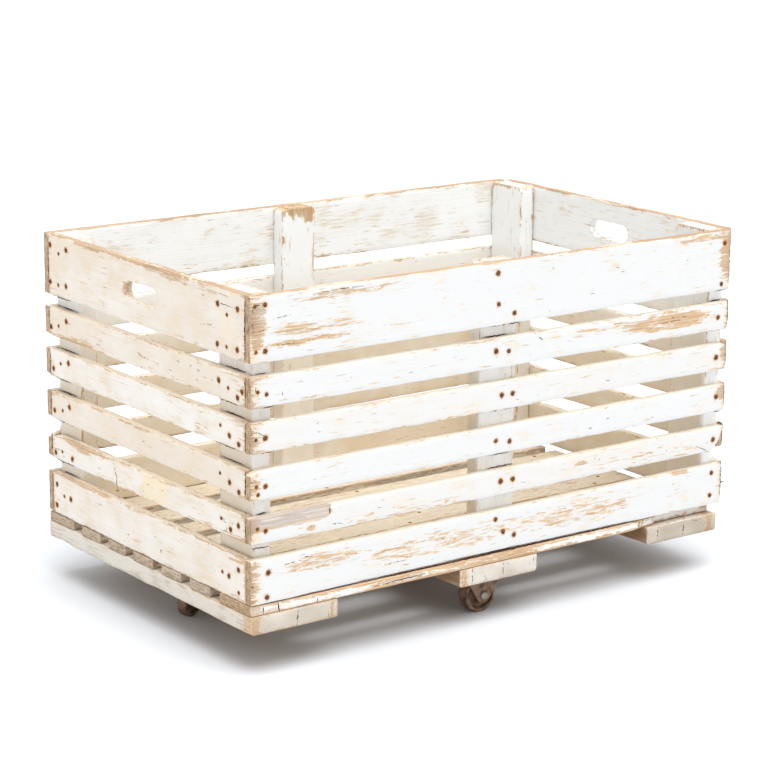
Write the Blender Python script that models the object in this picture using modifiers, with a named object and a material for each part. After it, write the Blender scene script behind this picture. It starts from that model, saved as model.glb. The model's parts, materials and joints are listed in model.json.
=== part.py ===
# Slatted timber mill cart on two rigid and two swivel casters, in metres, +Z up.
# +X runs along the cart's length and -Y is the long side that the photograph shows.
# The origin is on the floor, under the middle of the cart's bounding box.
import math

import bmesh
import bpy
from mathutils import Matrix, Vector

# Whole cart
cart_length = 1.217
cart_width = 0.765
rim_height = 0.736
ride_height = 0.084
joint_gap = 0.0003

# Wall boards, top row first
board_thickness = 0.018
row_heights = (0.128, 0.061, 0.059, 0.058, 0.054, 0.090)
row_gap_shares = (0.17, 0.19, 0.22, 0.22, 0.20)
board_worn_edge = 0.0016
chipped_corner_radius = 0.020
worn_corner_radius = 0.007
front_bottom_bow = 0.0045
hand_slot_length = 0.122
hand_slot_height = 0.037

# Posts inside the walls
post_thickness = 0.039
front_left_post_width = 0.116
back_left_post_width = 0.093
front_right_post_width = 0.110
back_right_post_width = 0.106
mid_post_thickness = 0.036
front_mid_post_width = 0.092
back_mid_post_width = 0.085
mid_post_centre_share = 0.49
post_worn_edge = 0.003
post_top_radius = 0.011
post_drop = 0.002

# Floor boards, front board first
floor_thickness = 0.020
floor_board_widths = (0.111, 0.075, 0.072, 0.076, 0.067, 0.076, 0.100)
floor_right_inset = 0.034
floor_worn_edge = 0.0015
broken_strip_width = 0.0195
broken_strip_length = 0.262
splinter_length_shares = (0.0, 0.13, 0.24, 0.35, 0.42)
splinter_depth_shares = (0.0, 0.10, 0.42, 0.50, 1.0)

# Bearers under the floor
bearer_width = 0.200
bearer_thickness = 0.037
bearer_right_inset = 0.026
bearer_worn_radius = 0.006

# Rigid casters under the middle bearer
rigid_wheel_radius = 0.0375
rigid_wheel_width = 0.030
rigid_side_inset = 0.071
rigid_plate_length = 0.104
rigid_plate_width = 0.078
rigid_leg_top_width = 0.098
rigid_leg_end_radius = 0.016
rigid_fork_gap = 0.042

# Swivel casters under the end bearers
swivel_wheel_radius = 0.030
swivel_wheel_width = 0.022
swivel_plate_length = 0.078
swivel_plate_width = 0.070
swivel_trail = 0.018
swivel_pivot_inset = 0.117
swivel_left_heading = math.radians(22)
swivel_right_heading = math.radians(157)
swivel_fork_gap = 0.033
swivel_leg_top_width = 0.052
swivel_leg_end_radius = 0.013
race_radius = 0.024
race_depth = 0.0052
race_lip = 0.002
race_running_gap = 0.0005
crown_bend_radius = 0.006
kingpin_radius = 0.005
kingpin_head_radius = 0.009
kingpin_head_height = 0.003

# Caster plates, legs, pins and wheels
plate_thickness = 0.003
leg_thickness = 0.003
plate_corner_radius = 0.006
plate_hole_radius = 0.0035
plate_hole_margin = 0.011
pin_radius = 0.0055
pin_running_gap = 0.0003
pin_head_radius = 0.0085
pin_head_height = 0.003
pin_head_edge = 0.001
hub_running_gap = 0.0005
hub_wall = 0.0065
rim_wall = 0.0065
rim_shoulder = 0.0025
web_thickness = 0.009
web_draft = 0.002

# Facets
wheel_steps = 32
pin_steps = 20
race_steps = 32
arc_steps = 5
bow_steps = 8
slot_steps = 8
cut_overrun = 0.004
weld_distance = 0.00001
sharp_angle = math.radians(35)
quarter_turn = math.radians(90)
half_turn = math.radians(180)

# Names and finishes
part_collection_name = "mill_cart"
cutter_collection_name = "cutters"
paint_colour = (0.86, 0.84, 0.79)
paint_roughness = 0.62
floor_colour = (0.72, 0.66, 0.56)
floor_roughness = 0.75
bearer_colour = (0.80, 0.75, 0.66)
bearer_roughness = 0.70
iron_colour = (0.16, 0.10, 0.07)
iron_roughness = 0.70
iron_metallic = 0.60
steel_colour = (0.55, 0.53, 0.50)
steel_roughness = 0.35
steel_metallic = 1.0

half_length = cart_length / 2
half_width = cart_width / 2
bearer_top = ride_height + bearer_thickness
floor_bottom = bearer_top + joint_gap
floor_top = floor_bottom + floor_thickness
wall_bottom = floor_top + joint_gap
long_board_length = cart_length - board_thickness - joint_gap
left_face = -half_length
inner_left = left_face + board_thickness + joint_gap
right_post_face = half_length - board_thickness - joint_gap
inner_front = -half_width + board_thickness + joint_gap
inner_back = -inner_front
plate_top = ride_height - joint_gap
plate_bottom = plate_top - plate_thickness


def clear_scene():
    for item in list(bpy.data.objects):
        bpy.data.objects.remove(item, do_unlink=True)


def new_collection(name):
    collection = bpy.data.collections.new(name)
    bpy.context.scene.collection.children.link(collection)
    return collection


def new_material(name, colour, roughness, metallic=0):
    material = bpy.data.materials.new(name)
    material.use_nodes = True
    shader = material.node_tree.nodes["Principled BSDF"]
    shader.inputs["Base Color"].default_value = (*colour, 1)
    shader.inputs["Roughness"].default_value = roughness
    shader.inputs["Metallic"].default_value = metallic
    material.diffuse_color = (*colour, 1)
    return material


def add_object(name, data, collection, material=None, location=(0, 0, 0), rotation=(0, 0, 0)):
    item = bpy.data.objects.new(name, data)
    item.location = location
    item.rotation_euler = rotation
    collection.objects.link(item)
    if material is not None:
        data.materials.clear()
        data.materials.append(material)
    return item


def add_cutter(name, data, collection, location=(0, 0, 0), rotation=(0, 0, 0)):
    item = add_object(name, data, collection, None, location, rotation)
    item.hide_render = True
    item.display_type = "WIRE"
    return item


def box_mesh(name, size):
    mesh = bpy.data.meshes.new(name)
    shape = bmesh.new()
    bmesh.ops.create_cube(shape, size=1, matrix=Matrix.Diagonal((*size, 1)))
    shape.to_mesh(mesh)
    shape.free()
    return mesh


def cylinder_mesh(name, radius, depth, steps):
    mesh = bpy.data.meshes.new(name)
    shape = bmesh.new()
    radii = {"radius1": radius, "radius2": radius}
    bmesh.ops.create_cone(shape, cap_ends=True, segments=steps, depth=depth, **radii)
    shape.to_mesh(mesh)
    shape.free()
    return mesh


def outline_mesh(name, outlines, thickness):
    # A flat outline, with any further outlines as holes, made a plate in its own XY plane
    curve = bpy.data.curves.new(name, "CURVE")
    curve.dimensions = "2D"
    curve.fill_mode = "BOTH"
    curve.extrude = thickness / 2
    for points in outlines:
        spline = curve.splines.new("POLY")
        spline.points.add(len(points) - 1)
        for target, (across, up) in zip(spline.points, points):
            target.co = (across, up, 0, 1)
        spline.use_cyclic_u = True
    holder = bpy.data.objects.new(name + "_outline", curve)
    bpy.context.scene.collection.objects.link(holder)
    bpy.context.view_layer.update()
    evaluated = holder.evaluated_get(bpy.context.evaluated_depsgraph_get())
    mesh = bpy.data.meshes.new_from_object(evaluated)
    bpy.data.objects.remove(holder, do_unlink=True)
    bpy.data.curves.remove(curve)
    mesh.name = name
    shape = bmesh.new()
    shape.from_mesh(mesh)
    bmesh.ops.remove_doubles(shape, verts=shape.verts, dist=weld_distance)
    bmesh.ops.recalc_face_normals(shape, faces=shape.faces)
    shape.to_mesh(mesh)
    shape.free()
    return mesh


def arc(centre, radius, start, end, steps):
    turns = [start + (end - start) * step / steps for step in range(steps + 1)]
    return [(centre[0] + radius * math.cos(turn), centre[1] + radius * math.sin(turn)) for turn in turns]


def rounded_rectangle(width, height, radii, steps=arc_steps):
    # Radii run from the lower left corner, counter-clockwise; a zero leaves the corner square
    corners = ((-1, -1, half_turn), (1, -1, -quarter_turn), (1, 1, 0), (-1, 1, quarter_turn))
    points = []
    for (side, level, start), radius in zip(corners, radii):
        corner = (side * width / 2, level * height / 2)
        if radius == 0:
            points.append(corner)
            continue
        centre = (corner[0] - side * radius, corner[1] - level * radius)
        points.extend(arc(centre, radius, start, start + quarter_turn, steps))
    return points


def bowed_board_outline(width, height, bow):
    # The lower edge rises in the middle, where the board has warped off the floor
    points = []
    for step in range(bow_steps + 1):
        share = step / bow_steps
        points.append((width * share - width / 2, bow * math.sin(half_turn * share) - height / 2))
    points.extend([(width / 2, height / 2), (-width / 2, height / 2)])
    return points


def slot_outline(length, height):
    radius = height / 2
    reach = length / 2 - radius
    right = arc((reach, 0), radius, -quarter_turn, quarter_turn, slot_steps)
    left = arc((-reach, 0), radius, quarter_turn, quarter_turn + half_turn, slot_steps)
    return right + left


def add_bevel(item, width, segments=1):
    bevel = item.modifiers.new("Worn edges", "BEVEL")
    bevel.width = width
    bevel.segments = segments
    bevel.limit_method = "ANGLE"
    bevel.angle_limit = sharp_angle
    return bevel


def add_boolean(item, other, operation):
    boolean = item.modifiers.new(operation.title(), "BOOLEAN")
    boolean.operation = operation
    boolean.solver = "EXACT"
    boolean.object = other
    return boolean


def shade_round(mesh):
    mesh.shade_smooth()
    mesh.set_sharp_from_angle(angle=sharp_angle)


def turned_mesh(name, profile, steps, closed):
    # Profile points are (radius, height), down the outer side first
    mesh = bpy.data.meshes.new(name)
    points = [(radius, 0, height) for radius, height in profile]
    edges = [(index, index + 1) for index in range(len(points) - 1)]
    if closed:
        edges.append((len(points) - 1, 0))
    mesh.from_pydata(points, edges, [])
    holder = bpy.data.objects.new(name + "_profile", mesh)
    bpy.context.scene.collection.objects.link(holder)
    screw = holder.modifiers.new("Turn", "SCREW")
    screw.steps = steps
    screw.render_steps = steps
    screw.use_merge_vertices = True
    screw.merge_threshold = weld_distance
    bpy.context.view_layer.update()
    evaluated = holder.evaluated_get(bpy.context.evaluated_depsgraph_get())
    turned = bpy.data.meshes.new_from_object(evaluated)
    bpy.data.objects.remove(holder, do_unlink=True)
    bpy.data.meshes.remove(mesh)
    turned.name = name
    shape = bmesh.new()
    shape.from_mesh(turned)
    bmesh.ops.remove_doubles(shape, verts=shape.verts, dist=weld_distance)
    shape.to_mesh(turned)
    shape.free()
    shade_round(turned)
    return turned


def row_levels():
    # Bottom and top of each wall row, top row first
    spare = rim_height - wall_bottom - sum(row_heights)
    levels = []
    top = rim_height
    for index, height in enumerate(row_heights):
        levels.append((top - height, top))
        if index < len(row_gap_shares):
            top -= height + spare * row_gap_shares[index] / sum(row_gap_shares)
    return levels


def build_long_boards(collection, material):
    centre_x = left_face + long_board_length / 2
    last = len(row_heights)
    for side_name, side in (("front", -1), ("back", 1)):
        for row, (bottom, top) in enumerate(row_levels(), start=1):
            radii = [0, 0, 0, 0]
            if side_name == "front" and row == last - 1:
                radii[1] = chipped_corner_radius
            if side_name == "back" and row > 1:
                radii[0] = worn_corner_radius
            name = f"long_board_{side_name}_{row}"
            if side_name == "front" and row == last:
                outline = bowed_board_outline(long_board_length, top - bottom, front_bottom_bow)
            else:
                outline = rounded_rectangle(long_board_length, top - bottom, radii)
            mesh = outline_mesh(name, [outline], board_thickness)
            place = (centre_x, side * (half_width - board_thickness / 2), (top + bottom) / 2)
            board = add_object(name, mesh, collection, material, place, (quarter_turn, 0, 0))
            add_bevel(board, board_worn_edge)


def build_end_boards(collection, material):
    length = inner_back - inner_front
    for side_name, side in (("left", -1), ("right", 1)):
        for row, (bottom, top) in enumerate(row_levels(), start=1):
            name = f"end_board_{side_name}_{row}"
            outlines = [rounded_rectangle(length, top - bottom, (0, 0, 0, 0))]
            if row == 1:
                outlines.append(slot_outline(hand_slot_length, hand_slot_height))
            mesh = outline_mesh(name, outlines, board_thickness)
            place = (side * (half_length - board_thickness / 2), 0, (top + bottom) / 2)
            board = add_object(name, mesh, collection, material, place, (quarter_turn, 0, quarter_turn))
            add_bevel(board, board_worn_edge)


def build_corner_posts(collection, material):
    height = rim_height - post_drop - wall_bottom
    middle = wall_bottom + height / 2
    posts = (
        ("front_left", -1, -1, front_left_post_width),
        ("back_left", -1, 1, back_left_post_width),
        ("front_right", 1, -1, front_right_post_width),
        ("back_right", 1, 1, back_right_post_width),
    )
    for place_name, along, across, width in posts:
        name = f"corner_post_{place_name}"
        outline = rounded_rectangle(width, height, (0, 0, post_top_radius, post_top_radius))
        mesh = outline_mesh(name, [outline], post_thickness)
        if along < 0:
            x = inner_left + post_thickness / 2
        else:
            x = right_post_face - post_thickness / 2
        y = across * (inner_back - width / 2)
        post = add_object(name, mesh, collection, material, (x, y, middle), (quarter_turn, 0, quarter_turn))
        # The short facets of the rounded top must not narrow the bevel
        add_bevel(post, post_worn_edge).use_clamp_overlap = False


def build_mid_posts(collection, material):
    height = rim_height - post_drop - wall_bottom
    middle = wall_bottom + height / 2
    x = left_face + cart_length * mid_post_centre_share
    for side_name, side, width in (("front", -1, front_mid_post_width), ("back", 1, back_mid_post_width)):
        name = f"mid_post_{side_name}"
        outline = rounded_rectangle(width, height, (0, 0, post_top_radius, post_top_radius))
        mesh = outline_mesh(name, [outline], mid_post_thickness)
        y = side * (inner_back - mid_post_thickness / 2)
        post = add_object(name, mesh, collection, material, (x, y, middle), (quarter_turn, 0, 0))
        # The short facets of the rounded top must not narrow the bevel
        add_bevel(post, post_worn_edge).use_clamp_overlap = False


def front_floor_outline(length, width):
    # The front edge is broken away towards the right end, behind a splintered step
    left, right = -length / 2, length / 2
    front, back = -width / 2, width / 2
    start = right - broken_strip_length
    points = [(left, front)]
    for along, deep in zip(splinter_length_shares, splinter_depth_shares):
        points.append((start + broken_strip_length * along, front + broken_strip_width * deep))
    points.extend([(right, front + broken_strip_width), (right, back), (left, back)])
    return points


def build_floor(collection, material):
    length = cart_length - floor_right_inset
    gap = (cart_width - sum(floor_board_widths)) / (len(floor_board_widths) - 1)
    front = -half_width
    x = left_face + length / 2
    for number, width in enumerate(floor_board_widths, start=1):
        name = f"floor_board_{number}"
        if number == 1:
            outline = front_floor_outline(length, width)
        else:
            outline = rounded_rectangle(length, width, (0, 0, 0, 0))
        mesh = outline_mesh(name, [outline], floor_thickness)
        place = (x, front + width / 2, floor_bottom + floor_thickness / 2)
        board = add_object(name, mesh, collection, material, place)
        add_bevel(board, floor_worn_edge)
        front += width + gap


def bearer_centres():
    left = left_face + bearer_width / 2
    right = half_length - bearer_right_inset - bearer_width / 2
    return {"left": left, "middle": (left + right) / 2, "right": right}


def build_bearers(collection, material):
    for place_name, x in bearer_centres().items():
        name = f"bearer_{place_name}"
        radii = (bearer_worn_radius, bearer_worn_radius, 0, 0)
        mesh = outline_mesh(name, [rounded_rectangle(bearer_width, bearer_thickness, radii)], cart_width)
        place = (x, 0, ride_height + bearer_thickness / 2)
        add_object(name, mesh, collection, material, place, (quarter_turn, 0, 0))


def hole_outline(centre, radius):
    return arc(centre, radius, 0, half_turn + half_turn, pin_steps)[:-1]


def plate_mesh(name, length, width):
    # A caster's mounting plate with its four bolt holes
    holes = []
    for side in (-1, 1):
        for end in (-1, 1):
            centre = (side * (length / 2 - plate_hole_margin), end * (width / 2 - plate_hole_margin))
            holes.append(hole_outline(centre, plate_hole_radius))
    radii = (plate_corner_radius, plate_corner_radius, plate_corner_radius, plate_corner_radius)
    return outline_mesh(name, [rounded_rectangle(length, width, radii)] + holes, plate_thickness)


def leg_outline(top_width, top, centre, radius):
    # Straight edges fall from both top corners, each touching the rounded end about the pin
    corners = []
    turns = []
    for side in (-1, 1):
        corner = Vector((side * top_width / 2, top))
        reach = Vector(centre) - corner
        lean = math.atan2(reach.y, reach.x)
        spread = math.asin(radius / reach.length)
        corners.append(tuple(corner))
        turns.append(lean + side * (spread + quarter_turn))
    left, right = corners
    return [right, left] + arc(centre, radius, turns[0], turns[1], slot_steps)


def channel_outline(outer_width, top, bottom, thickness, bend):
    # A sheet bent to an upside-down U, seen along its length
    out = outer_width / 2
    into = out - thickness
    inner_bend = bend - thickness
    points = [(-out, bottom), (-into, bottom)]
    points += arc((-out + bend, top - bend), inner_bend, half_turn, quarter_turn, arc_steps)
    points += arc((out - bend, top - bend), inner_bend, quarter_turn, 0, arc_steps)
    points += [(into, bottom), (out, bottom)]
    points += arc((out - bend, top - bend), bend, 0, quarter_turn, arc_steps)
    points += arc((-out + bend, top - bend), bend, quarter_turn, half_turn, arc_steps)
    return points


def wheel_mesh(name, radius, width, hub_width):
    # Deep recesses between the hub and the rim, each side of a web
    bore = pin_radius + pin_running_gap
    hub = bore + hub_wall
    rim = radius - rim_wall
    edge = width / 2
    web = web_thickness / 2
    upper = [(bore, hub_width / 2), (hub, hub_width / 2), (hub + web_draft, web)]
    upper += [(rim - web_draft, web), (rim, edge)]
    upper += [(radius - rim_shoulder, edge), (radius, edge - rim_shoulder)]
    lower = [(reach, -height) for reach, height in reversed(upper)]
    return turned_mesh(name, upper + lower, wheel_steps, True)


def axle_mesh(name, grip):
    # A riveted pin with a chamfered head at each end, grip apart
    top = grip / 2 + pin_head_height
    upper = [(0, top), (pin_head_radius - pin_head_edge, top)]
    upper += [(pin_head_radius, top - pin_head_edge), (pin_head_radius, grip / 2)]
    upper += [(pin_radius, grip / 2)]
    lower = [(reach, -height) for reach, height in reversed(upper)]
    return turned_mesh(name, upper + lower, pin_steps, False)


def kingpin_mesh(name, grip):
    # The head hangs under the fork's crown and the shaft ends flush in the plate
    profile = [(0, grip), (kingpin_radius, grip), (kingpin_radius, 0)]
    profile += [(kingpin_head_radius, 0), (kingpin_head_radius, pin_head_edge - kingpin_head_height)]
    profile += [(kingpin_head_radius - pin_head_edge, -kingpin_head_height), (0, -kingpin_head_height)]
    return turned_mesh(name, profile, pin_steps, False)


def race_mesh(name):
    # The upper ball race is a shallow turned dish under the plate
    low = -race_depth
    profile = [(0, plate_thickness / 2), (race_radius - race_lip, plate_thickness / 2)]
    profile += [(race_radius, low + race_lip), (race_radius - race_lip, low), (0, low)]
    return turned_mesh(name, profile, race_steps, False)


def add_axle_and_wheel(parts, iron, steel, name, parent, centre, sizes):
    radius, width, fork_gap = sizes
    across = (quarter_turn, 0, 0)
    hub_width = fork_gap - hub_running_gap - hub_running_gap
    wheel = wheel_mesh(name + "_wheel", radius, width, hub_width)
    rolling = add_object(name + "_wheel", wheel, parts, iron, centre, across)
    grip = fork_gap + leg_thickness + leg_thickness + joint_gap + joint_gap
    axle = add_object(name + "_axle", axle_mesh(name + "_axle", grip), parts, steel, centre, across)
    if parent is not None:
        rolling.parent = parent
        axle.parent = parent


def add_axle_bore(cutters, name, centre, outer):
    mesh = cylinder_mesh(name + "_bore", pin_radius + pin_running_gap, outer + cut_overrun, pin_steps)
    return add_cutter(name + "_bore", mesh, cutters, centre, (quarter_turn, 0, 0))


def build_rigid_casters(parts, cutters, iron, steel):
    # Two tapered legs stand down from each plate, on both sides of the wheel
    x = bearer_centres()["middle"]
    outer = rigid_fork_gap + leg_thickness + leg_thickness
    drop = plate_top - rigid_wheel_radius
    leg_top = drop - plate_thickness / 2
    room_height = drop + rigid_leg_end_radius + cut_overrun
    room_size = (rigid_leg_top_width + cut_overrun, rigid_fork_gap, room_height)
    for side_name, side in (("front", -1), ("back", 1)):
        name = f"rigid_caster_{side_name}"
        y = side * (half_width - rigid_side_inset)
        centre = (x, y, rigid_wheel_radius)
        legs = leg_outline(rigid_leg_top_width, leg_top, (0, 0), rigid_leg_end_radius)
        block = outline_mesh(name + "_legs", [legs], outer)
        leg_block = add_cutter(name + "_legs", block, cutters, centre, (quarter_turn, 0, 0))
        room_mesh = box_mesh(name + "_wheel_room", room_size)
        room_place = (x, y, plate_top - room_height / 2)
        room = add_cutter(name + "_wheel_room", room_mesh, cutters, room_place)
        plate = plate_mesh(name + "_bracket", rigid_plate_length, rigid_plate_width)
        bracket_place = (x, y, plate_top - plate_thickness / 2)
        bracket = add_object(name + "_bracket", plate, parts, iron, bracket_place)
        add_boolean(leg_block, room, "DIFFERENCE")
        add_boolean(leg_block, add_axle_bore(cutters, name, centre, outer), "DIFFERENCE")
        add_boolean(bracket, leg_block, "UNION")
        sizes = (rigid_wheel_radius, rigid_wheel_width, rigid_fork_gap)
        add_axle_and_wheel(parts, iron, steel, name, None, centre, sizes)


def build_swivel_casters(parts, cutters, iron, steel):
    left_pivot = left_face + swivel_pivot_inset
    right_pivot = half_length - bearer_right_inset - swivel_pivot_inset
    build_swivel_caster(parts, cutters, iron, steel, "left", left_pivot, swivel_left_heading)
    build_swivel_caster(parts, cutters, iron, steel, "right", right_pivot, swivel_right_heading)


def build_swivel_caster(parts, cutters, iron, steel, side_name, x, heading):
    # The fork is one sheet bent over the wheel and hung on a riveted kingpin under the race
    name = f"swivel_caster_{side_name}"
    crown_top = plate_bottom - race_depth - race_running_gap
    crown_bottom = crown_top - leg_thickness
    outer = swivel_fork_gap + leg_thickness + leg_thickness
    axis_empty = add_object(name + "_swivel_axis", None, parts, None, (x, 0, 0), (0, 0, heading))

    plate = plate_mesh(name + "_top_plate", swivel_plate_length, swivel_plate_width)
    plate_place = (x, 0, plate_top - plate_thickness / 2)
    top_plate = add_object(name + "_top_plate", plate, parts, iron, plate_place)
    race = add_cutter(name + "_race", race_mesh(name + "_race"), cutters, (x, 0, plate_bottom))
    depth = plate_top - crown_bottom + cut_overrun
    pin_bore = kingpin_radius + pin_running_gap
    pin_room_mesh = cylinder_mesh(name + "_pin_room", pin_bore, depth + depth, pin_steps)
    pin_room = add_cutter(name + "_pin_room", pin_room_mesh, cutters, (x, 0, plate_top))
    add_boolean(top_plate, race, "UNION")
    add_boolean(top_plate, pin_room, "DIFFERENCE")

    centre = (-swivel_trail, 0, swivel_wheel_radius)
    legs = leg_outline(swivel_leg_top_width, crown_top, centre[::2], swivel_leg_end_radius)
    side_mesh = outline_mesh(name + "_side", [legs], outer + cut_overrun)
    side = add_cutter(name + "_side", side_mesh, cutters, (0, 0, 0), (quarter_turn, 0, 0))
    low = swivel_wheel_radius - swivel_leg_end_radius - cut_overrun
    section = channel_outline(outer, crown_top, low, leg_thickness, crown_bend_radius)
    reach = swivel_leg_top_width + swivel_trail + swivel_trail + cut_overrun
    channel = outline_mesh(name + "_fork", [section], reach)
    fork = add_object(name + "_fork", channel, parts, iron, (0, 0, 0), (quarter_turn, 0, quarter_turn))
    bore = add_axle_bore(cutters, name, centre, outer)
    for item in (fork, side, bore):
        item.parent = axis_empty
    add_boolean(fork, side, "INTERSECT")
    add_boolean(fork, bore, "DIFFERENCE")
    add_boolean(fork, pin_room, "DIFFERENCE")

    head_top = crown_bottom - race_running_gap
    kingpin = kingpin_mesh(name + "_kingpin", plate_top - head_top)
    add_object(name + "_kingpin", kingpin, parts, steel, (x, 0, head_top))
    sizes = (swivel_wheel_radius, swivel_wheel_width, swivel_fork_gap)
    add_axle_and_wheel(parts, iron, steel, name, axis_empty, centre, sizes)


def main():
    clear_scene()
    parts = new_collection(part_collection_name)
    cutters = new_collection(cutter_collection_name)
    paint = new_material("chipped white paint on pine", paint_colour, paint_roughness)
    worn_floor = new_material("worn paint on floor boards", floor_colour, floor_roughness)
    sawn_bearer = new_material("worn paint on sawn pine", bearer_colour, bearer_roughness)
    iron = new_material("rusty cast iron", iron_colour, iron_roughness, iron_metallic)
    steel = new_material("worn steel", steel_colour, steel_roughness, steel_metallic)
    build_long_boards(parts, paint)
    build_end_boards(parts, paint)
    build_corner_posts(parts, paint)
    build_mid_posts(parts, paint)
    build_floor(parts, worn_floor)
    build_bearers(parts, sawn_bearer)
    build_rigid_casters(parts, cutters, iron, steel)
    build_swivel_casters(parts, cutters, iron, steel)


main()
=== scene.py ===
import json
import math
import bmesh
import bpy
import numpy as np
from mathutils import Matrix, Vector

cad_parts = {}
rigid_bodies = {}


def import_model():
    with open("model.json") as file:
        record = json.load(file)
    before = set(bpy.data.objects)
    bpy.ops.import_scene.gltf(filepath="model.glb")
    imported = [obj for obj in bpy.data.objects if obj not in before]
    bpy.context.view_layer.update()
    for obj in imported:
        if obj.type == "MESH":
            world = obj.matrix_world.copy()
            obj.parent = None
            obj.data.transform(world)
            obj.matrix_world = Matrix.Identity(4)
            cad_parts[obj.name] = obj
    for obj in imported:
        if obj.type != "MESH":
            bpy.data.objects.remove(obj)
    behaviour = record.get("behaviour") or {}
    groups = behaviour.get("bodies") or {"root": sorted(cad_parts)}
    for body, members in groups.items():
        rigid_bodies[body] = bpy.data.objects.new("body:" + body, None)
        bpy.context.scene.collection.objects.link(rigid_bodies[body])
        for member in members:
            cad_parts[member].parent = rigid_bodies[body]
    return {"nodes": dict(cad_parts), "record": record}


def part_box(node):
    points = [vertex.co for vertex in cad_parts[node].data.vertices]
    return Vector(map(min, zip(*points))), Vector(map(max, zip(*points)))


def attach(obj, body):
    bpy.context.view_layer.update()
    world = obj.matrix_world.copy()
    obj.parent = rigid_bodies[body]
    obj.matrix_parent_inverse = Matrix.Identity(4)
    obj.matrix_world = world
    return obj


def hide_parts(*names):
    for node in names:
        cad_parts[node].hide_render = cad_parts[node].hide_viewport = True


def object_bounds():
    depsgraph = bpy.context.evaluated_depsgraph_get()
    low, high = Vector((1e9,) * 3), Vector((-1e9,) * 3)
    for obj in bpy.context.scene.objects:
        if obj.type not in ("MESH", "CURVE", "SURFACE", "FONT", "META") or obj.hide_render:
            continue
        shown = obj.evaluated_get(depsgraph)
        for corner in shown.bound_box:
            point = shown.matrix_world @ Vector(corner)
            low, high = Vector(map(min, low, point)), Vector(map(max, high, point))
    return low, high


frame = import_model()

cadBounds = [list(corner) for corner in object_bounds()]
cartBody = "cart_box"


# Shared helpers
def hexColour(code):
    # sRGB hex to the linear values that shaders take
    channels = [int(code[place:place + 2], 16) / 255 for place in (1, 3, 5)]
    return (*(c / 12.92 if c <= 0.04045 else ((c + 0.055) / 1.055) ** 2.4 for c in channels), 1.0)


def setInputs(tree, node, inputs):
    # An input takes a number, a hex colour, a socket or another node's first live output
    for key, value in inputs.items():
        target = node.inputs[key]
        if isinstance(key, str):
            target = next(socket for socket in node.inputs if socket.name == key and socket.enabled)
        if isinstance(value, bpy.types.Node):
            value = next(socket for socket in value.outputs if socket.enabled)
        if isinstance(value, bpy.types.NodeSocket):
            tree.links.new(value, target)
        else:
            target.default_value = hexColour(value) if str(value).startswith("#") else value


def addNode(tree, kind, inputs=None, **settings):
    node = tree.nodes.new(kind)
    for name, value in settings.items():
        setattr(node, name, value)
    setInputs(tree, node, inputs or {})
    return node


def addSteps(tree, values, steps):
    # Works down a table of shader steps: a result's name, what is done and to what, where a name stands
    # for an earlier value. range takes a value, the limits it comes from and those it goes to; mix
    # takes a share and two colours; the rest are sums.
    for result, action, *given in steps:
        given = [values[item] if item in values else item for item in given]
        if action == "mix":  # sockets 0, 6 and 7 are a Mix node's factor and colours, and output 2 its colour
            mixed = addNode(tree, "ShaderNodeMix", dict(zip((0, 6, 7), given)), data_type="RGBA")
            values[result] = mixed.outputs[2]
        elif action == "range":
            values[result] = addNode(tree, "ShaderNodeMapRange", dict(enumerate(given)))
        else:
            values[result] = addNode(tree, "ShaderNodeMath", dict(enumerate(given)), operation=action)


def newMaterial(name):
    material = bpy.data.materials.new(name)
    material.use_nodes = True
    return material, material.node_tree, material.node_tree.nodes["Principled BSDF"]


def newMesh(name, points, edges=(), faces=()):
    mesh = bpy.data.meshes.new(name)
    mesh.from_pydata(points, edges, faces)
    return mesh


def newObject(name, data):
    item = bpy.data.objects.new(name, data)
    bpy.context.scene.collection.objects.link(item)
    return item


def newPiece(name, mesh, material):
    piece = newObject(name, mesh)
    mesh.materials.clear()
    mesh.materials.append(material)
    return piece


def evaluatedMesh(item):
    # What the modifiers make of an object, as a plain mesh
    bpy.context.view_layer.update()
    return bpy.data.meshes.new_from_object(item.evaluated_get(bpy.context.evaluated_depsgraph_get()))


def setAttribute(mesh, name, values):
    # A number or a vector for each point
    kind, field = (("FLOAT", "value"), ("FLOAT_VECTOR", "vector"))[values.ndim - 1]
    mesh.attributes.new(name, kind, "POINT").data.foreach_set(field, values.astype(np.float32).ravel())


def readArray(items, name, width=1, kind=float):
    values = np.empty(len(items) * width, kind)
    items.foreach_get(name, values)
    return values.reshape(-1, width) if width > 1 else values


def recalculateNormals(mesh, mergeDistance=0.0):
    shapeMesh = bmesh.new()
    shapeMesh.from_mesh(mesh)
    if mergeDistance:
        bmesh.ops.remove_doubles(shapeMesh, verts=shapeMesh.verts, dist=mergeDistance)
    bmesh.ops.recalc_face_normals(shapeMesh, faces=shapeMesh.faces)
    shapeMesh.to_mesh(mesh)
    shapeMesh.free()


def smoothRandom(place, wavelength, seed):
    # Smooth random values from -1 to 1 along a line
    lattice = np.random.default_rng(seed).uniform(-1, 1, 1024)
    low = np.floor(place / wavelength).astype(int)
    share = place / wavelength - low
    share = share * share * (3 - 2 * share)
    return lattice[low % 1024] * (1 - share) + lattice[(low + 1) % 1024] * share


def smoothField(along, across, wavelengths, seed):
    # The same over a surface
    lattice = np.random.default_rng(seed).uniform(-1, 1, (256, 256))
    place = [along / wavelengths[0], across / wavelengths[1]]
    low = [np.floor(steps).astype(int) for steps in place]
    share = [steps - floor for steps, floor in zip(place, low)]
    share = [part * part * (3 - 2 * part) for part in share]
    left, right = low[1] % 256, (low[1] + 1) % 256
    near, far = (lattice[row % 256, left] * (1 - share[1]) + lattice[row % 256, right] * share[1]
                 for row in (low[0], low[0] + 1))
    return near * (1 - share[0]) + far * share[0]


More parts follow.
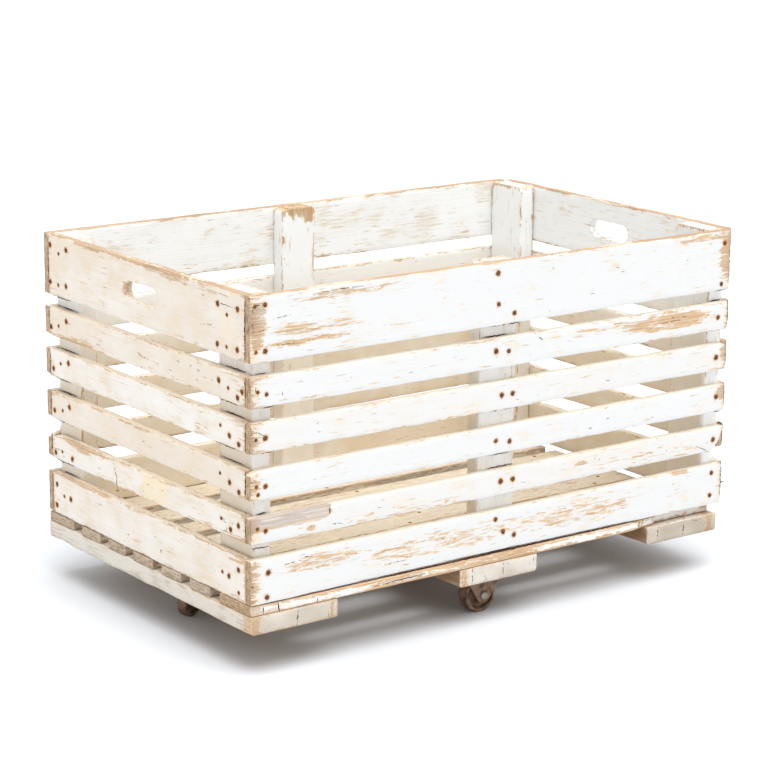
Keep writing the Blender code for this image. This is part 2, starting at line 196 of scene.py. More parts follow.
# Camera, at the photograph's angle
cameraView = {
    "place": (-3.1345, -4.2065, 1.723),  # metres, in the cart's frame
    "yaw": 36.505,                       # degrees from +Y towards +X
    "pitch": 14.078,                     # degrees down
    "roll": 0.5525,
    "lens": 120.98,                      # mm
    "sensorWidth": 36.0,
}


def makeCamera():
    yaw, pitch, roll = (math.radians(cameraView[name]) for name in ("yaw", "pitch", "roll"))
    forward = Vector((math.sin(yaw) * math.cos(pitch), math.cos(yaw) * math.cos(pitch), -math.sin(pitch)))
    level = Vector((math.cos(yaw), -math.sin(yaw), 0))
    upright = level.cross(forward)
    right = math.cos(roll) * level + math.sin(roll) * upright
    up = math.cos(roll) * upright - math.sin(roll) * level
    data = bpy.data.cameras.new("photoCamera")
    data.sensor_width = cameraView["sensorWidth"]
    data.lens = cameraView["lens"]
    camera = newObject("photoCamera", data)
    turn = Matrix((right, up, -forward)).transposed()
    camera.matrix_world = Matrix.Translation(cameraView["place"]) @ turn.to_4x4()
    bpy.context.scene.camera = camera


# Studio: a pale floor, a wide soft sun and white surroundings
studio = {
    "floorColour": "#d9dce0",    # cool, against the warm light that the timber throws on it
    "floorRoughness": 0.9,
    "floorReach": 60.0,          # metres each way, past the frame's top edge
    "overhead": 0.93,            # brightness of the surroundings straight up
    "horizon": 0.72,             # and level with the floor
    "sunStrength": 2.20,
    "sunSpread": 52.0,           # degrees; a wide source gives the soft shadow
    "sunFrom": (-0.05, -0.30, 1.0),
    "look": "Medium High Contrast",
}


def makeStudio():
    scene = bpy.context.scene
    scene.world = bpy.data.worlds.new("studioWorld")
    scene.world.use_nodes = True
    tree = scene.world.node_tree
    way = addNode(tree, "ShaderNodeTexCoord").outputs["Generated"]
    way = addNode(tree, "ShaderNodeSeparateXYZ", {"Vector": way})
    strength = addNode(tree, "ShaderNodeMapRange", {"Value": way.outputs["Z"], "To Min": studio["horizon"],
                                                    "To Max": studio["overhead"]})
    setInputs(tree, tree.nodes["Background"], {"Color": "#ffffff", "Strength": strength})
    light = bpy.data.lights.new("softSun", "SUN")
    light.energy = studio["sunStrength"]
    light.angle = math.radians(studio["sunSpread"])
    sun = newObject("softSun", light)
    sun.rotation_euler = Vector(studio["sunFrom"]).to_track_quat("Z", "Y").to_euler()
    material, tree, shader = newMaterial("paleStudioFloor")
    setInputs(tree, shader, {"Base Color": studio["floorColour"], "Roughness": studio["floorRoughness"]})
    reach = studio["floorReach"]
    corners = [(x * reach, y * reach, 0) for x, y in ((-1, -1), (1, -1), (1, 1), (-1, 1))]
    mesh = newMesh("studioFloor", corners, faces=[(0, 1, 2, 3)])
    newPiece("studioFloor", mesh, material)
    scene.view_settings.view_transform = "Standard"
    scene.view_settings.look = studio["look"]


# Oil paint brushed on sawn pine, then knocked about for decades. The paint is a thin, slightly warm
# white skin that breaks off along the grain; the pine under it is tan, greyed where it is wettest.
wallPaint = {
    "paint": "#edeeed",
    "agedPaint": "#ddd2c4",
    "thinPaint": "#e6d8c4",
    "yellowedPaint": "#e8d7ba",
    "dirtAndShadePaint": "#dccdb4",
    "pine": "#dac3a7",
    "darkPine": "#bd9871",
    "dirtAndShadePine": "#a78a6b",
    "weatheredPine": "#d6cdc5",
    "darkWeathered": "#b5a99f",
    "underside": "#b39878",
    "darkUnderside": "#876c52",
    "sawnEnd": "#cbb08e",
    "darkSawnEnd": "#7b5e43",
    "crackDirt": "#55402f",
    "rust": "#cf9142",
    "nailRing": "#6b4626",
    "bareLimit": 1.10,        # higher leaves more paint
    "roughness": 0.58,
    "bareRoughness": 0.85,
}
# The floor's paint is darker than the walls': aged, and painted shade for the inside of the box, where less
# light reaches
floorPaint = {**wallPaint, "paint": "#d2cabd", "agedPaint": "#c4b6a0", "thinPaint": "#c6b59b",
              "pine": "#bda689", "darkPine": "#93795c", "sawnEnd": "#cbbba5", "darkSawnEnd": "#8d7862"}
bearerPaint = {**wallPaint, "paint": "#dfdbd3", "agedPaint": "#cfc6b9", "sawnEnd": "#cabdab",
               "darkSawnEnd": "#96816a", "dirtAndShadePaint": "#b3a898"}
dimmedFrontPaint = {**wallPaint, "paint": "#dadad9"}    # the long front side, a little darker: painted shade, toning down the full sun that falls on it
# The far walls are lit by warm light off the timber, so their white is cooler
coolPaint = {**wallPaint, "paint": "#f2f5f6", "agedPaint": "#e0dad1"}
# Marks in the wood and paint: mm along the grain, across it and through the board, then the noise's detail
pineMarks = {
    "rings": (190.0, 2.6, 2.6, 3.0),
    "fibre": (36.0, 0.9, 0.9, 2.0),
    "flake": (64.0, 7.5, 7.5, 5.0),
    "ragged": (15.0, 3.2, 3.2, 5.0),
    "cloud": (260.0, 90.0, 90.0, 3.0),
    "check": (210.0, 7.0, 7.0, 2.0),
    "speck": (5.0, 3.0, 3.0, 2.0),
    "pore": (1.6, 1.6, 1.6, 4.0),
    "chip": (9.0, 9.0, 9.0, 3.0),
    "endRings": (30.0, 16.0, 2.2, 2.0),
    "stroke": (44.0, 4.4, 4.4, 4.0),
    "stain": (70.0, 55.0, 55.0, 4.0),
}


def paintedPine(name, look):
    material, tree, shader = newMaterial(name)
    place = addNode(tree, "ShaderNodeAttribute", attribute_name="boardPoint").outputs["Vector"]
    values = dict(look)
    for reading in "edgeReach edgeWear wear weathered endGrain tone under soil yellowed".split():
        values[reading] = addNode(tree, "ShaderNodeAttribute", attribute_name=reading).outputs["Fac"]
    for mark, (*sizes, detail) in pineMarks.items():
        scale = [1000 / size for size in sizes]
        mapped = addNode(tree, "ShaderNodeMapping", {"Vector": place, "Scale": scale})
        values[mark] = addNode(tree, "ShaderNodeTexNoise", {"Vector": mapped, "Scale": 1.0, "Detail": detail,
                                                            "Roughness": 0.6}).outputs["Fac"]
    # The map that measures metres from the nearest nail
    spot = addNode(tree, "ShaderNodeUVMap", uv_map="nailSpot")
    values["fromNail"] = addNode(tree, "ShaderNodeVectorMath", {0: spot}, operation="LENGTH").outputs["Value"]
    apart = addNode(tree, "ShaderNodeSeparateXYZ", {"Vector": spot})
    values.update(besideNail=apart.outputs["X"], overNail=apart.outputs["Y"])
    limit = look["bareLimit"]
    addSteps(tree, values, (
        # How bare each point is: flakes, ragged edges, the long edges of the board and local wear
        ("edge", "MULTIPLY_ADD", "ragged", -0.016, "edgeReach"),
        ("edge", "range", "edge", -0.0105, 0.0, 0.5, 0.0),
        ("rubbed", "ADD", "edgeWear", "stain"),
        ("rubbed", "range", "rubbed", 0.42, 1.05),
        ("edge", "MULTIPLY", "edge", "rubbed"),
        ("score", "MULTIPLY_ADD", "ragged", 0.5, "flake"),
        ("score", "MULTIPLY_ADD", "wear", 0.8, "score"),
        ("score", "ADD", "score", "edge"),
        ("streak", "MULTIPLY_ADD", "wear", 0.34, "stroke"),
        ("streak", "MULTIPLY_ADD", "edge", 0.35, "streak"),
        ("streak", "range", "streak", 0.685, 0.715, 0.0, 0.8),
        ("bare", "range", "score", limit, limit + 0.025),
        ("bare", "MAXIMUM", "bare", "streak"),
        ("thin", "range", "score", limit - 0.09, limit + 0.01, 0.0, 0.75),
        # Pine, greyed by weather, brown where nobody painted it, and darkened by dirt and painted shade
        ("grain", "MULTIPLY_ADD", "fibre", 0.5, "rings"),
        ("grain", "range", "grain", 0.58, 0.92),
        ("wood", "mix", "grain", "pine", "darkPine"),
        ("grey", "mix", "grain", "weatheredPine", "darkWeathered"),
        ("wood", "mix", "weathered", "wood", "grey"),
        ("brown", "mix", "grain", "underside", "darkUnderside"),
        ("wood", "mix", "under", "wood", "brown"),
        ("dirtAndShadeOnPine", "MULTIPLY", "soil", "cloud"),
        ("dirtAndShadeOnPine", "MULTIPLY", "dirtAndShadeOnPine", 1.3),
        ("wood", "mix", "dirtAndShadeOnPine", "wood", "dirtAndShadePine"),
        # The paint over it, aged in clouds, darkened by dirt and painted shade, yellowed and thin at the
        # edges of the bare places
        # The warmth set per board family pushes the paint towards the aged colour: partly painted shade on
        # the left end and left posts, painted light where it is negative on the far walls and right posts
        ("aged", "MULTIPLY_ADD", "cloud", 0.6, "tone"),
        ("aged", "MULTIPLY_ADD", "stain", 0.6, "aged"),
        ("aged", "MULTIPLY_ADD", "rings", 0.6, "aged"),
        ("aged", "range", "aged", 0.88, 1.70),
        ("skin", "mix", "aged", "paint", "agedPaint"),
        ("dirtAndShadeOnPaint", "ADD", "stain", 0.5),
        ("dirtAndShadeOnPaint", "MULTIPLY", "dirtAndShadeOnPaint", "soil"),
        ("spotty", "ADD", "stain", "stroke"),
        ("spotty", "MULTIPLY_ADD", "tone", 0.12, "spotty"),
        ("spotty", "range", "spotty", 1.10, 1.26, 0.0, 0.7),
        ("dirtAndShadeOnPaint", "MAXIMUM", "dirtAndShadeOnPaint", "spotty"),
        ("skin", "mix", "dirtAndShadeOnPaint", "skin", "dirtAndShadePaint"),
        ("yellow", "range", "stain", 0.36, 0.52, 0.35, 1.0),
        ("yellow", "MULTIPLY", "yellowed", "yellow"),
        ("skin", "mix", "yellow", "skin", "yellowedPaint"),
        ("skin", "mix", "thin", "skin", "thinPaint"),
        ("skin", "mix", "bare", "skin", "wood"),
        # Sawn ends: brown and open where the paint is gone, split by dark fissures between the rings
        ("fissured", "MULTIPLY_ADD", "pore", 0.5, "endRings"),
        ("fissured", "range", "fissured", 0.62, 0.92),
        ("sawn", "mix", "fissured", "sawnEnd", "darkSawnEnd"),
        ("open", "MULTIPLY", "chip", 0.4),
        ("open", "MULTIPLY_ADD", "endRings", 0.8, "open"),
        ("open", "MULTIPLY_ADD", "edge", 0.4, "open"),
        ("open", "MULTIPLY_ADD", "endGrain", 0.6, "open"),
        ("open", "range", "open", 0.74, 0.90, 0.0, 0.92),
        ("there", "GREATER_THAN", "endGrain", 0.05),
        ("open", "MULTIPLY", "open", "there"),
        ("skin", "mix", "open", "skin", "sawn"),
        # Cracks: thin lines where a long noise crosses its middle, only where a slow mask lets them
        ("line", "SUBTRACT", "check", 0.5),
        ("line", "ABSOLUTE", "line"),
        ("line", "range", "line", 0.004, 0.012, 1.0, 0.0),
        ("crack", "MULTIPLY_ADD", "wear", 1.2, "cloud"),
        ("crack", "range", "crack", 0.85, 1.2, 0.0, 0.6),
        ("crack", "MULTIPLY", "crack", "stroke"),
        ("crack", "MULTIPLY", "line", "crack"),
        ("skin", "mix", "crack", "skin", "crackDirt"),
        # Rust round each nail, a dark ring close to its head and now and then a run below it
        ("wander", "MULTIPLY", "speck", 0.007),
        ("fromNail", "ADD", "fromNail", "wander"),
        ("halo", "range", "fromNail", 0.0086, 0.0132, 1.0, 0.0),
        ("patchy", "range", "chip", 0.40, 0.58, 0.25, 0.95),
        ("halo", "MULTIPLY", "halo", "patchy"),
        ("ring", "range", "fromNail", 0.0082, 0.0097, 0.7, 0.0),
        ("run", "ABSOLUTE", "besideNail"),
        ("run", "MULTIPLY_ADD", "wander", 0.6, "run"),
        ("run", "range", "run", 0.0022, 0.0042, 0.55, 0.0),
        ("below", "range", "overNail", -0.026, -0.006),
        ("run", "MULTIPLY", "run", "below"),
        ("below", "LESS_THAN", "overNail", 0.0),
        ("run", "MULTIPLY", "run", "below"),
        ("often", "range", "cloud", 0.50, 0.56, 0.0, 0.7),
        ("run", "MULTIPLY", "run", "often"),
        ("halo", "MAXIMUM", "halo", "run"),
        ("skin", "mix", "halo", "skin", "rust"),
        ("skin", "mix", "ring", "skin", "nailRing"),
        # Relief: the paint's edge, the raised grain and the cracks
        ("relief", "MULTIPLY", "bare", -0.45),
        ("relief", "MULTIPLY_ADD", "grain", -0.35, "relief"),
        ("relief", "MULTIPLY_ADD", "crack", -1.6, "relief"),
        ("relief", "MULTIPLY_ADD", "ragged", 0.25, "relief"),
        ("rough", "range", "bare", 0.0, 1.0, "roughness", "bareRoughness"),
    ))
    bump = addNode(tree, "ShaderNodeBump", {"Height": values["relief"], "Distance": 0.0006, "Strength": 0.8})
    setInputs(tree, shader, {"Base Color": values["skin"], "Roughness": values["rough"], "Normal": bump})
    return material


# Cast and sheet iron, brown with old rust, rubbed lighter where edges and treads catch
rustyIron = {
    "dark": "#35261d",
    "brown": "#5b3f2b",
    "orange": "#885a38",
    "worn": "#927a66",
    "blotch": 14.0,           # mm
    "pitting": 1.4,
    "roughness": 0.72,
    "wornRoughness": 0.45,
    "metallic": 0.35,
}
rustedNail = {**rustyIron, "dark": "#4b3324", "brown": "#7d5638", "orange": "#c78d58", "worn": "#a9784f",
              "blotch": 4.0, "pitting": 1.6, "metallic": 0.1, "roughness": 0.85}
wornSteel = {**rustyIron, "dark": "#5d544d", "brown": "#8b8178", "orange": "#7a5a42", "worn": "#a19a91",
             "metallic": 0.8, "roughness": 0.5}


# Old splits hold dirt, a dry near-black brown; the same colour draws dirt and painted contact shade in the
# seams and in the gap under the front; fresh splinters show clean pine
splitDirtAndShade = {"dark": "#3a261a", "light": "#6b4a32", "speck": 2.5, "roughness": 0.95}
splinterPine = {"dark": "#b98d5e", "light": "#dcb98e", "speck": 3.0, "roughness": 0.8}


def mottledSurface(name, look, marks, steps):
    # Noise in the object's space colours it and, by the last mark, bumps it
    material, tree, shader = newMaterial(name)
    place = addNode(tree, "ShaderNodeTexCoord").outputs["Object"]
    values = {"rough": look["roughness"], "metallic": 0.0, **look}
    if "worn" in look:
        values["rubbed"] = addNode(tree, "ShaderNodeAttribute", attribute_name="rubbed").outputs["Fac"]
    for mark, detail, strength in marks:
        values[mark] = addNode(tree, "ShaderNodeTexNoise", {
            "Vector": place, "Scale": 1000 / look[mark], "Detail": detail})
    addSteps(tree, values, steps)
    bump = addNode(tree, "ShaderNodeBump", {"Height": values[mark], "Distance": 0.0003, "Strength": strength})
    setInputs(tree, shader, {"Base Color": values["skin"], "Roughness": values["rough"],
                             "Metallic": values["metallic"], "Normal": bump})
    return material


def rustedMetal(name, look):
    return mottledSurface(name, look, (("blotch", 5.0, 0.7), ("pitting", 3.0, 0.7)), (
        ("share", "range", "blotch", 0.38, 0.62),
        ("skin", "mix", "share", "dark", "brown"),
        ("share", "range", "pitting", 0.56, 0.72, 0.0, 0.6),
        ("skin", "mix", "share", "skin", "orange"),
        ("bright", "MULTIPLY", "rubbed", "blotch"),
        ("bright", "range", "bright", 0.2, 0.6),
        ("skin", "mix", "bright", "skin", "worn"),
        ("rough", "range", "bright", 0.0, 1.0, "roughness", "wornRoughness"),
    ))


def speckledWood(name, look):
    return mottledSurface(name, look, (("speck", 3.0, 0.6),), (
        ("share", "range", "speck", 0.45, 0.7),
        ("skin", "mix", "share", "dark", "light"),
    ))


# Nails, in mm: (distance along, height) on the front and left walls as the photograph shows them, from
# the cart's left end or front face and from its bearers' underside. The far walls repeat them.
nails = {
    "frontMiddle": ((578, 629), (581, 567), (621, 545), (577, 474), (609, 470), (593, 382), (621, 382),
        (581, 291), (616, 285), (595, 205.5), (626, 205), (584, 128), (604, 99.5), (632, 88)),
    "frontLeft": ((33, 633), (33, 546), (36, 464), (33, 381), (33, 288), (33, 201), (39, 119), (36, 71)),
    "frontRight": ((1183, 624), (1178, 538), (1172, 467), (1171, 381), (1175.5, 295), (1172, 202),
        (1172, 129), (1169, 80)),
    "leftNear": ((109, 620), (78, 604), (42, 621), (111, 543), (79, 543), (43, 544), (107, 474.5),
        (75, 466), (43, 454), (28, 468), (102, 388), (72, 375), (40, 365), (104, 295), (72, 284.5),
        (40, 273), (101, 207), (69, 193), (42, 207), (98, 102), (75, 99.6), (42.5, 120), (42, 75)),
    "leftFar": ((738, 629), (704, 615), (673, 627), (740, 552), (708, 550), (676, 552), (740.5, 457),
        (709.5, 464), (678, 479), (734, 370), (704, 385.5), (673, 393), (734, 281), (700, 287), (672, 300),
        (732.5, 191), (705, 198), (664, 192), (731, 122), (701, 103), (674, 103), (733, 77)),
    "frontEdge": ((10.5, 632), (12.5, 546.5), (16.5, 470.5), (12.5, 380), (13, 290), (16.5, 274),
        (15, 208.5)),
    "headRadius": 0.0050,     # metres, as below
    "smallHead": 0.0034,
    "sunk": 0.00012,
    "jitter": 0.004,
    "floorInset": 0.020,
    "tilt": 0.16,             # radians
    "roughness": 0.0005,
    "heightShare": 0.24,      # of the radius
    "seed": 5,
}
plateScrews = {"inset": 0.011, "plateThickness": 0.003, "headRadius": 0.004, "heightShare": 0.40}


def nailPlaces():
    # (point, outward axis, radius) for every nail head
    random = np.random.default_rng(nails["seed"])
    low, high = (Vector(corner) for corner in cadBounds)
    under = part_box("bearer_middle")[0].z
    places = []
    for group in ("frontMiddle", "frontLeft", "frontRight", "frontEdge"):
        for along, height in np.array(nails[group]) / 1000:
            near = Vector((low.x + along, low.y, under + height))
            if group == "frontEdge":
                places.append((near, Vector((0, -1, 0)), nails["smallHead"]))
                continue
            places.append((near, Vector((0, -1, 0)), nails["headRadius"] * random.uniform(0.8, 1.05)))
            shift = random.normal(0, nails["jitter"], 2)
            far = Vector((low.x + along + shift[0], high.y, under + height + shift[1] / 2))
            places.append((far, Vector((0, 1, 0)), nails["headRadius"]))
    for group in ("leftNear", "leftFar"):
        for number, (along, height) in enumerate(np.array(nails[group]) / 1000):
            radius = nails["smallHead"] if number % 3 == 1 else nails["headRadius"]
            places.append((Vector((low.x, low.y + along, under + height)), Vector((-1, 0, 0)), radius))
            shift = random.normal(0, nails["jitter"], 2)
            far = Vector((high.x, low.y + along + shift[0], under + height + shift[1] / 2))
            places.append((far, Vector((1, 0, 0)), radius))
    for number in range(1, 8):
        floorLow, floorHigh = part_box(f"floor_board_{number}")
        for name in ("left", "middle", "right"):
            bearerLow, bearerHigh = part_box(f"bearer_{name}")
            for side in (-1, 1):
                shift = random.normal(0, nails["jitter"] * 2, 2)
                x = (bearerLow.x + bearerHigh.x) / 2 + side * nails["floorInset"] + shift[0]
                y = (floorLow.y + floorHigh.y) / 2 + side * nails["floorInset"] + shift[1] / 2
                places.append((Vector((x, y, floorHigh.z)), Vector((0, 0, 1)), nails["smallHead"]))
    return places


# Boards: each stands for one CAD node, with worn edges, chips and ripples that the node leaves out
boardShape = {
    "stationStep": 0.010,     # metres
    "stationGap": 0.0003,
    "rowStep": 0.010,
    "arcPoints": 3,
    "edgeRadius": 0.0022,
    "endRadius": 0.0016,
    "edgeWander": 0.0011,
    "wanderLength": 0.060,
    "wornLength": 0.040,      # over which an edge's radius changes
    "wornSpread": 0.5,
    "mostWorn": 0.42,         # of the thickness
    "ripple": 0.00035,
    "rippleLength": 0.120,
    "rippleWidth": 0.018,
    "chipSpacing": 0.35,
    "chipDepth": 0.004,
    "chipLength": 0.016,
    "brokenRoughness": 0.2,
    "brokenLength": 0.006,
    "bearerRadius": 0.006,
    "slotRim": 0.0025,
    "mergeDistance": 0.00001,
    "smoothAngle": 50.0,      # degrees
}
# By family: wear bares the wood, edgeWear does so along the edges, weathered greys it, the fourth value warms
# and ages the paint, partly painted shade on the left end and left posts and, where negative, painted light
# on the far walls and right posts, and endBare opens the sawn ends
wearNames = ("wear", "edgeWear", "weathered", "tone", "endBare")
boardWear = {
    "long_board_front": (0.07, 0.15, 0.0, 0.0, 0.85),
    "long_board_back": (0.08, 0.30, 0.0, -0.10, 0.85),
    "end_board_left": (0.05, 0.38, 0.0, 0.65, 0.6),
    "end_board_right": (0.05, 0.35, 0.0, -0.10, 0.6),
    "corner_post_front_left": (0.02, 0.35, 0.0, 0.20, 0.05),
    "corner_post_back_left": (0.02, 0.35, 0.0, 0.20, 0.05),
    "corner_post": (0.02, 0.35, 0.0, -0.10, 0.05),
    "mid_post": (0.06, 0.35, 0.0, 0.08, 0.3),
    "floor_board": (0.26, 0.40, 0.1, 0.40, 0.65),
    "bearer": (0.06, 0.55, 0.2, 0.45, 0.04),
}
# Grime on the bearers' sawn ends; the right bearer's larger share is also painted shade, darkening an end
# that catches more light
endGrimeAndShade = {"bearer_left": 0.40, "bearer_middle": 0.15, "bearer_right": 0.90}
# Worn places by board: centre along and across and reach each way, in mm, then wear and greyness
wornPlaces = {
    "long_board_front_1": (
        (-590, 690, 26, 45, 0.55, 0.8), (-592, 660, 18, 40, 0.55, 0.3), (-490, 641, 120, 7, 0.62, 0.0),
        (-470, 662, 150, 16, 0.42, 0.0), (-540, 676, 50, 8, 0.26, 0.0), (-390, 718, 170, 12, 0.44, 0.3),
        (515, 723, 100, 10, 0.58, 0.0), (584, 680, 30, 52, 0.58, 0.1),
    ),
    "long_board_front_2": (
        (420, 560, 165, 22, 0.54, 0.0), (470, 558, 60, 18, 0.66, 0.0), (240, 566, 110, 14, 0.43, 0.0),
        (-598, 552, 16, 26, 0.4, 0.6),
    ),
    "long_board_front_3": ((-597, 465, 18, 26, 0.4, 0.7), (584, 474, 13, 15, 0.75, 0.3)),
    "long_board_front_4": (
        (-592, 471, 20, 10, 0.6, 0.9), (-598, 375, 16, 26, 0.4, 0.6), (580, 386, 15, 16, 0.75, 0.4),
    ),
    "long_board_front_5": (
        (-471.3, 274.4, 13, 4.5, 0.8, 0.2), (-470, 256, 120, 6, 0.46, 0.0), (-240, 270, 200, 20, 0.33, 0.0),
        (196, 294, 22, 6, 0.75, 0.3), (380, 280, 200, 24, 0.28, 0.0),
    ),
    "long_board_front_6": (
        (-450, 205, 130, 24, 0.42, 0.0), (-170, 190, 230, 34, 0.37, 0.0), (-600, 190, 16, 55, 0.45, 0.3),
        (180, 190, 240, 30, 0.39, 0.0), (472, 230, 26, 6, 0.7, 0.0),
    ),
    "end_board_left_2": ((250, 527, 120, 10, 0.62, 0.0),),
    "end_board_left_1": (
        (62, 672, 10, 22, 0.55, 0.1), (60, 731, 280, 8, 0.5, 0.2), (-180, 722, 180, 10, 0.44, 0.2),
    ),
    "end_board_left_5": ((230, 308, 120, 9, 0.55, 0.0), (-330, 258, 60, 12, 0.6, 0.1)),
    "end_board_left_6": ((-340, 221, 45, 10, 0.55, 0.0), (250, 231, 130, 7, 0.45, 0.0)),
    "end_board_left_3": ((-200, 457, 20, 20, 0.34, 0.0),),
    "mid_post_back": ((727, -10, 18, 45, 0.62, 0.0), (712, 14, 20, 12, 0.62, 0.0)),
    "floor_board_1": ((-130, -382.5, 260, 12, 0.5, 0.0),),
    "bearer_left": ((-382.5, -604, 30, 16, 1.15, 0.1), (-382.5, -422, 20, 8, 0.95, 0.3)),
    "bearer_middle": ((-382.5, -100, 30, 10, 0.95, 0.1),),
    "bearer_right": ((-382.5, 560, 30, 12, 0.95, 0.3),),
}
# Places with an edge of their own: board, span along, span across, wear, greyness, yellowing
patches = (
    ("long_board_front_5", (-0.650, -0.4285), (0.2900, 0.350), 0.95, 1.0, 0.0),
    ("end_board_left_5", (-0.0930, -0.0015), (0.2400, 0.350), 0.0, 0.0, 0.85),
    ("end_board_left_1", (-0.3240, -0.2800), (0.6480, 0.692), 0.0, 0.0, 0.75),
)
# Corners broken off: board, which end, which edge, reach along, depth across
brokenCorners = (
    ("long_board_front_5", 1, 0, 0.040, 0.031),
    ("long_board_front_3", 1, 1, 0.012, 0.006),
    ("long_board_front_4", -1, 1, 0.022, 0.007),
    ("end_board_left_5", 1, 1, 0.030, 0.006),
    ("floor_board_4", 1, 0, 0.030, 0.012),
    ("long_board_back_5", -1, 1, 0.035, 0.012),
    ("end_board_right_6", -1, 0, 0.040, 0.010),
)
handSlot = {
    "nodes": ("end_board_left_1", "end_board_right_1"),
    "length": 0.122,          # metres
    "height": 0.037,
    "turns": 12,
    "wornReach": 0.05,
}
posts = ("corner_post", "mid_post")
farWalls = ("long_board_back", "end_board_right")


def boardAxes(node):
    # The grain runs the longest way; the thickness is the shortest. Places along, across and through
    # a board are called s, w and t below.
    low, high = (np.array(corner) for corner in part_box(node))
    through, across, along = (int(axis) for axis in np.argsort(high - low))
    return low, high, along, across, through


def cadEdges(node, axes):
    # The CAD outline's low and high edges along the grain, past its bevels
    low, high, along, across, through = axes
    bevelSlack = 0.00003
    sameStation = 0.0002
    points = np.unique(readArray(bpy.data.objects[node].data.vertices, "co", 3).round(5), axis=0)
    middle = (low + high) / 2
    if not node.startswith("bearer"):  # a bearer's outline lies across its grain
        points = points[abs(points - middle)[:, through] < (high - low)[through] / 2 - bevelSlack]
    if node in handSlot["nodes"]:
        points = points[abs(points - middle)[:, along] > handSlot["length"]]
    edges = []
    for side, best in ((-1, np.minimum), (1, np.maximum)):
        chosen = points[(points - middle)[:, across] * side > 0]
        places = np.unique(chosen[:, along].round(4))
        values = [best.reduce(chosen[abs(chosen[:, along] - place) < sameStation][:, across])
                  for place in places]
        edges.append((places, np.array(values)))
    return edges


def stationPlaces(start, end, step, radius):
    # Even steps, closer together where the ends round over
    even = np.linspace(start, end, max(2, round((end - start) / step)) + 1)
    close = radius * np.array((0.15, 0.5, 1.0, 2.5))
    return np.unique(np.concatenate([even, start + close, end - close]).round(6))


def roundedInset(distance, radius):
    near = np.clip(radius - distance, 0, radius)
    return radius - np.sqrt(radius * radius - near * near)


def boardSection(rows, layers):
    # Shares across and through for each point round the board, then the way out of a rounded corner
    arcPoints = boardShape["arcPoints"]
    corners = ((0, 0), (1, 0), (1, 1), (0, 1))
    section = []
    for corner, (acrossSide, throughSide) in enumerate(corners):
        start = math.pi + corner * math.pi / 2
        for step in range(arcPoints + 1):
            turn = start + step * math.pi / 2 / arcPoints
            section.append((acrossSide, throughSide, math.cos(turn), math.sin(turn)))
        outward = (math.cos(start + math.pi / 2), math.sin(start + math.pi / 2))
        following = corners[(corner + 1) % 4]
        count = rows if corner % 2 == 0 else layers
        for step in range(1, count):
            section.append((acrossSide + (following[0] - acrossSide) * step / count,
                            throughSide + (following[1] - throughSide) * step / count, *outward))
    return np.array(section).T[:, None, :]


def boardFaces(points, count, around, rows, layers):
    # Quads round the board, and a grid from one wide face to the other to close each end
    base = np.arange(count - 1)[:, None] * around
    here = np.arange(around)[None, :]
    following = (np.arange(around) + 1) % around
    quads = np.stack([base + here, base + following, base + around + following, base + around + here], -1)
    faces = quads.reshape(-1, 4).tolist()
    arc = boardShape["arcPoints"] + 1
    bottom = list(range(arc - 1, arc + rows))
    first = 3 * arc + rows + layers - 3
    top = list(range(first + rows, first - 1, -1))
    for offset in (0, (count - 1) * around):
        columns = []
        for lower, upper in zip(bottom, top):
            start, end = np.array(points[offset + lower]), np.array(points[offset + upper])
            column = [offset + lower]
            for step in range(1, layers):
                column.append(len(points))
                points.append((start + (end - start) * step / layers).tolist())
            columns.append(column + [offset + upper])
        for left, right in zip(columns, columns[1:]):
            for step in range(layers):
                faces.append((left[step], right[step], right[step + 1], left[step + 1]))
        ring = list(range(offset, offset + around))
        faces.append(ring[bottom[-1]:top[-1] + 1] + columns[-1][-2:0:-1])
        faces.append(ring[top[0]:] + ring[:bottom[0] + 1] + columns[0][1:-1])
    return faces


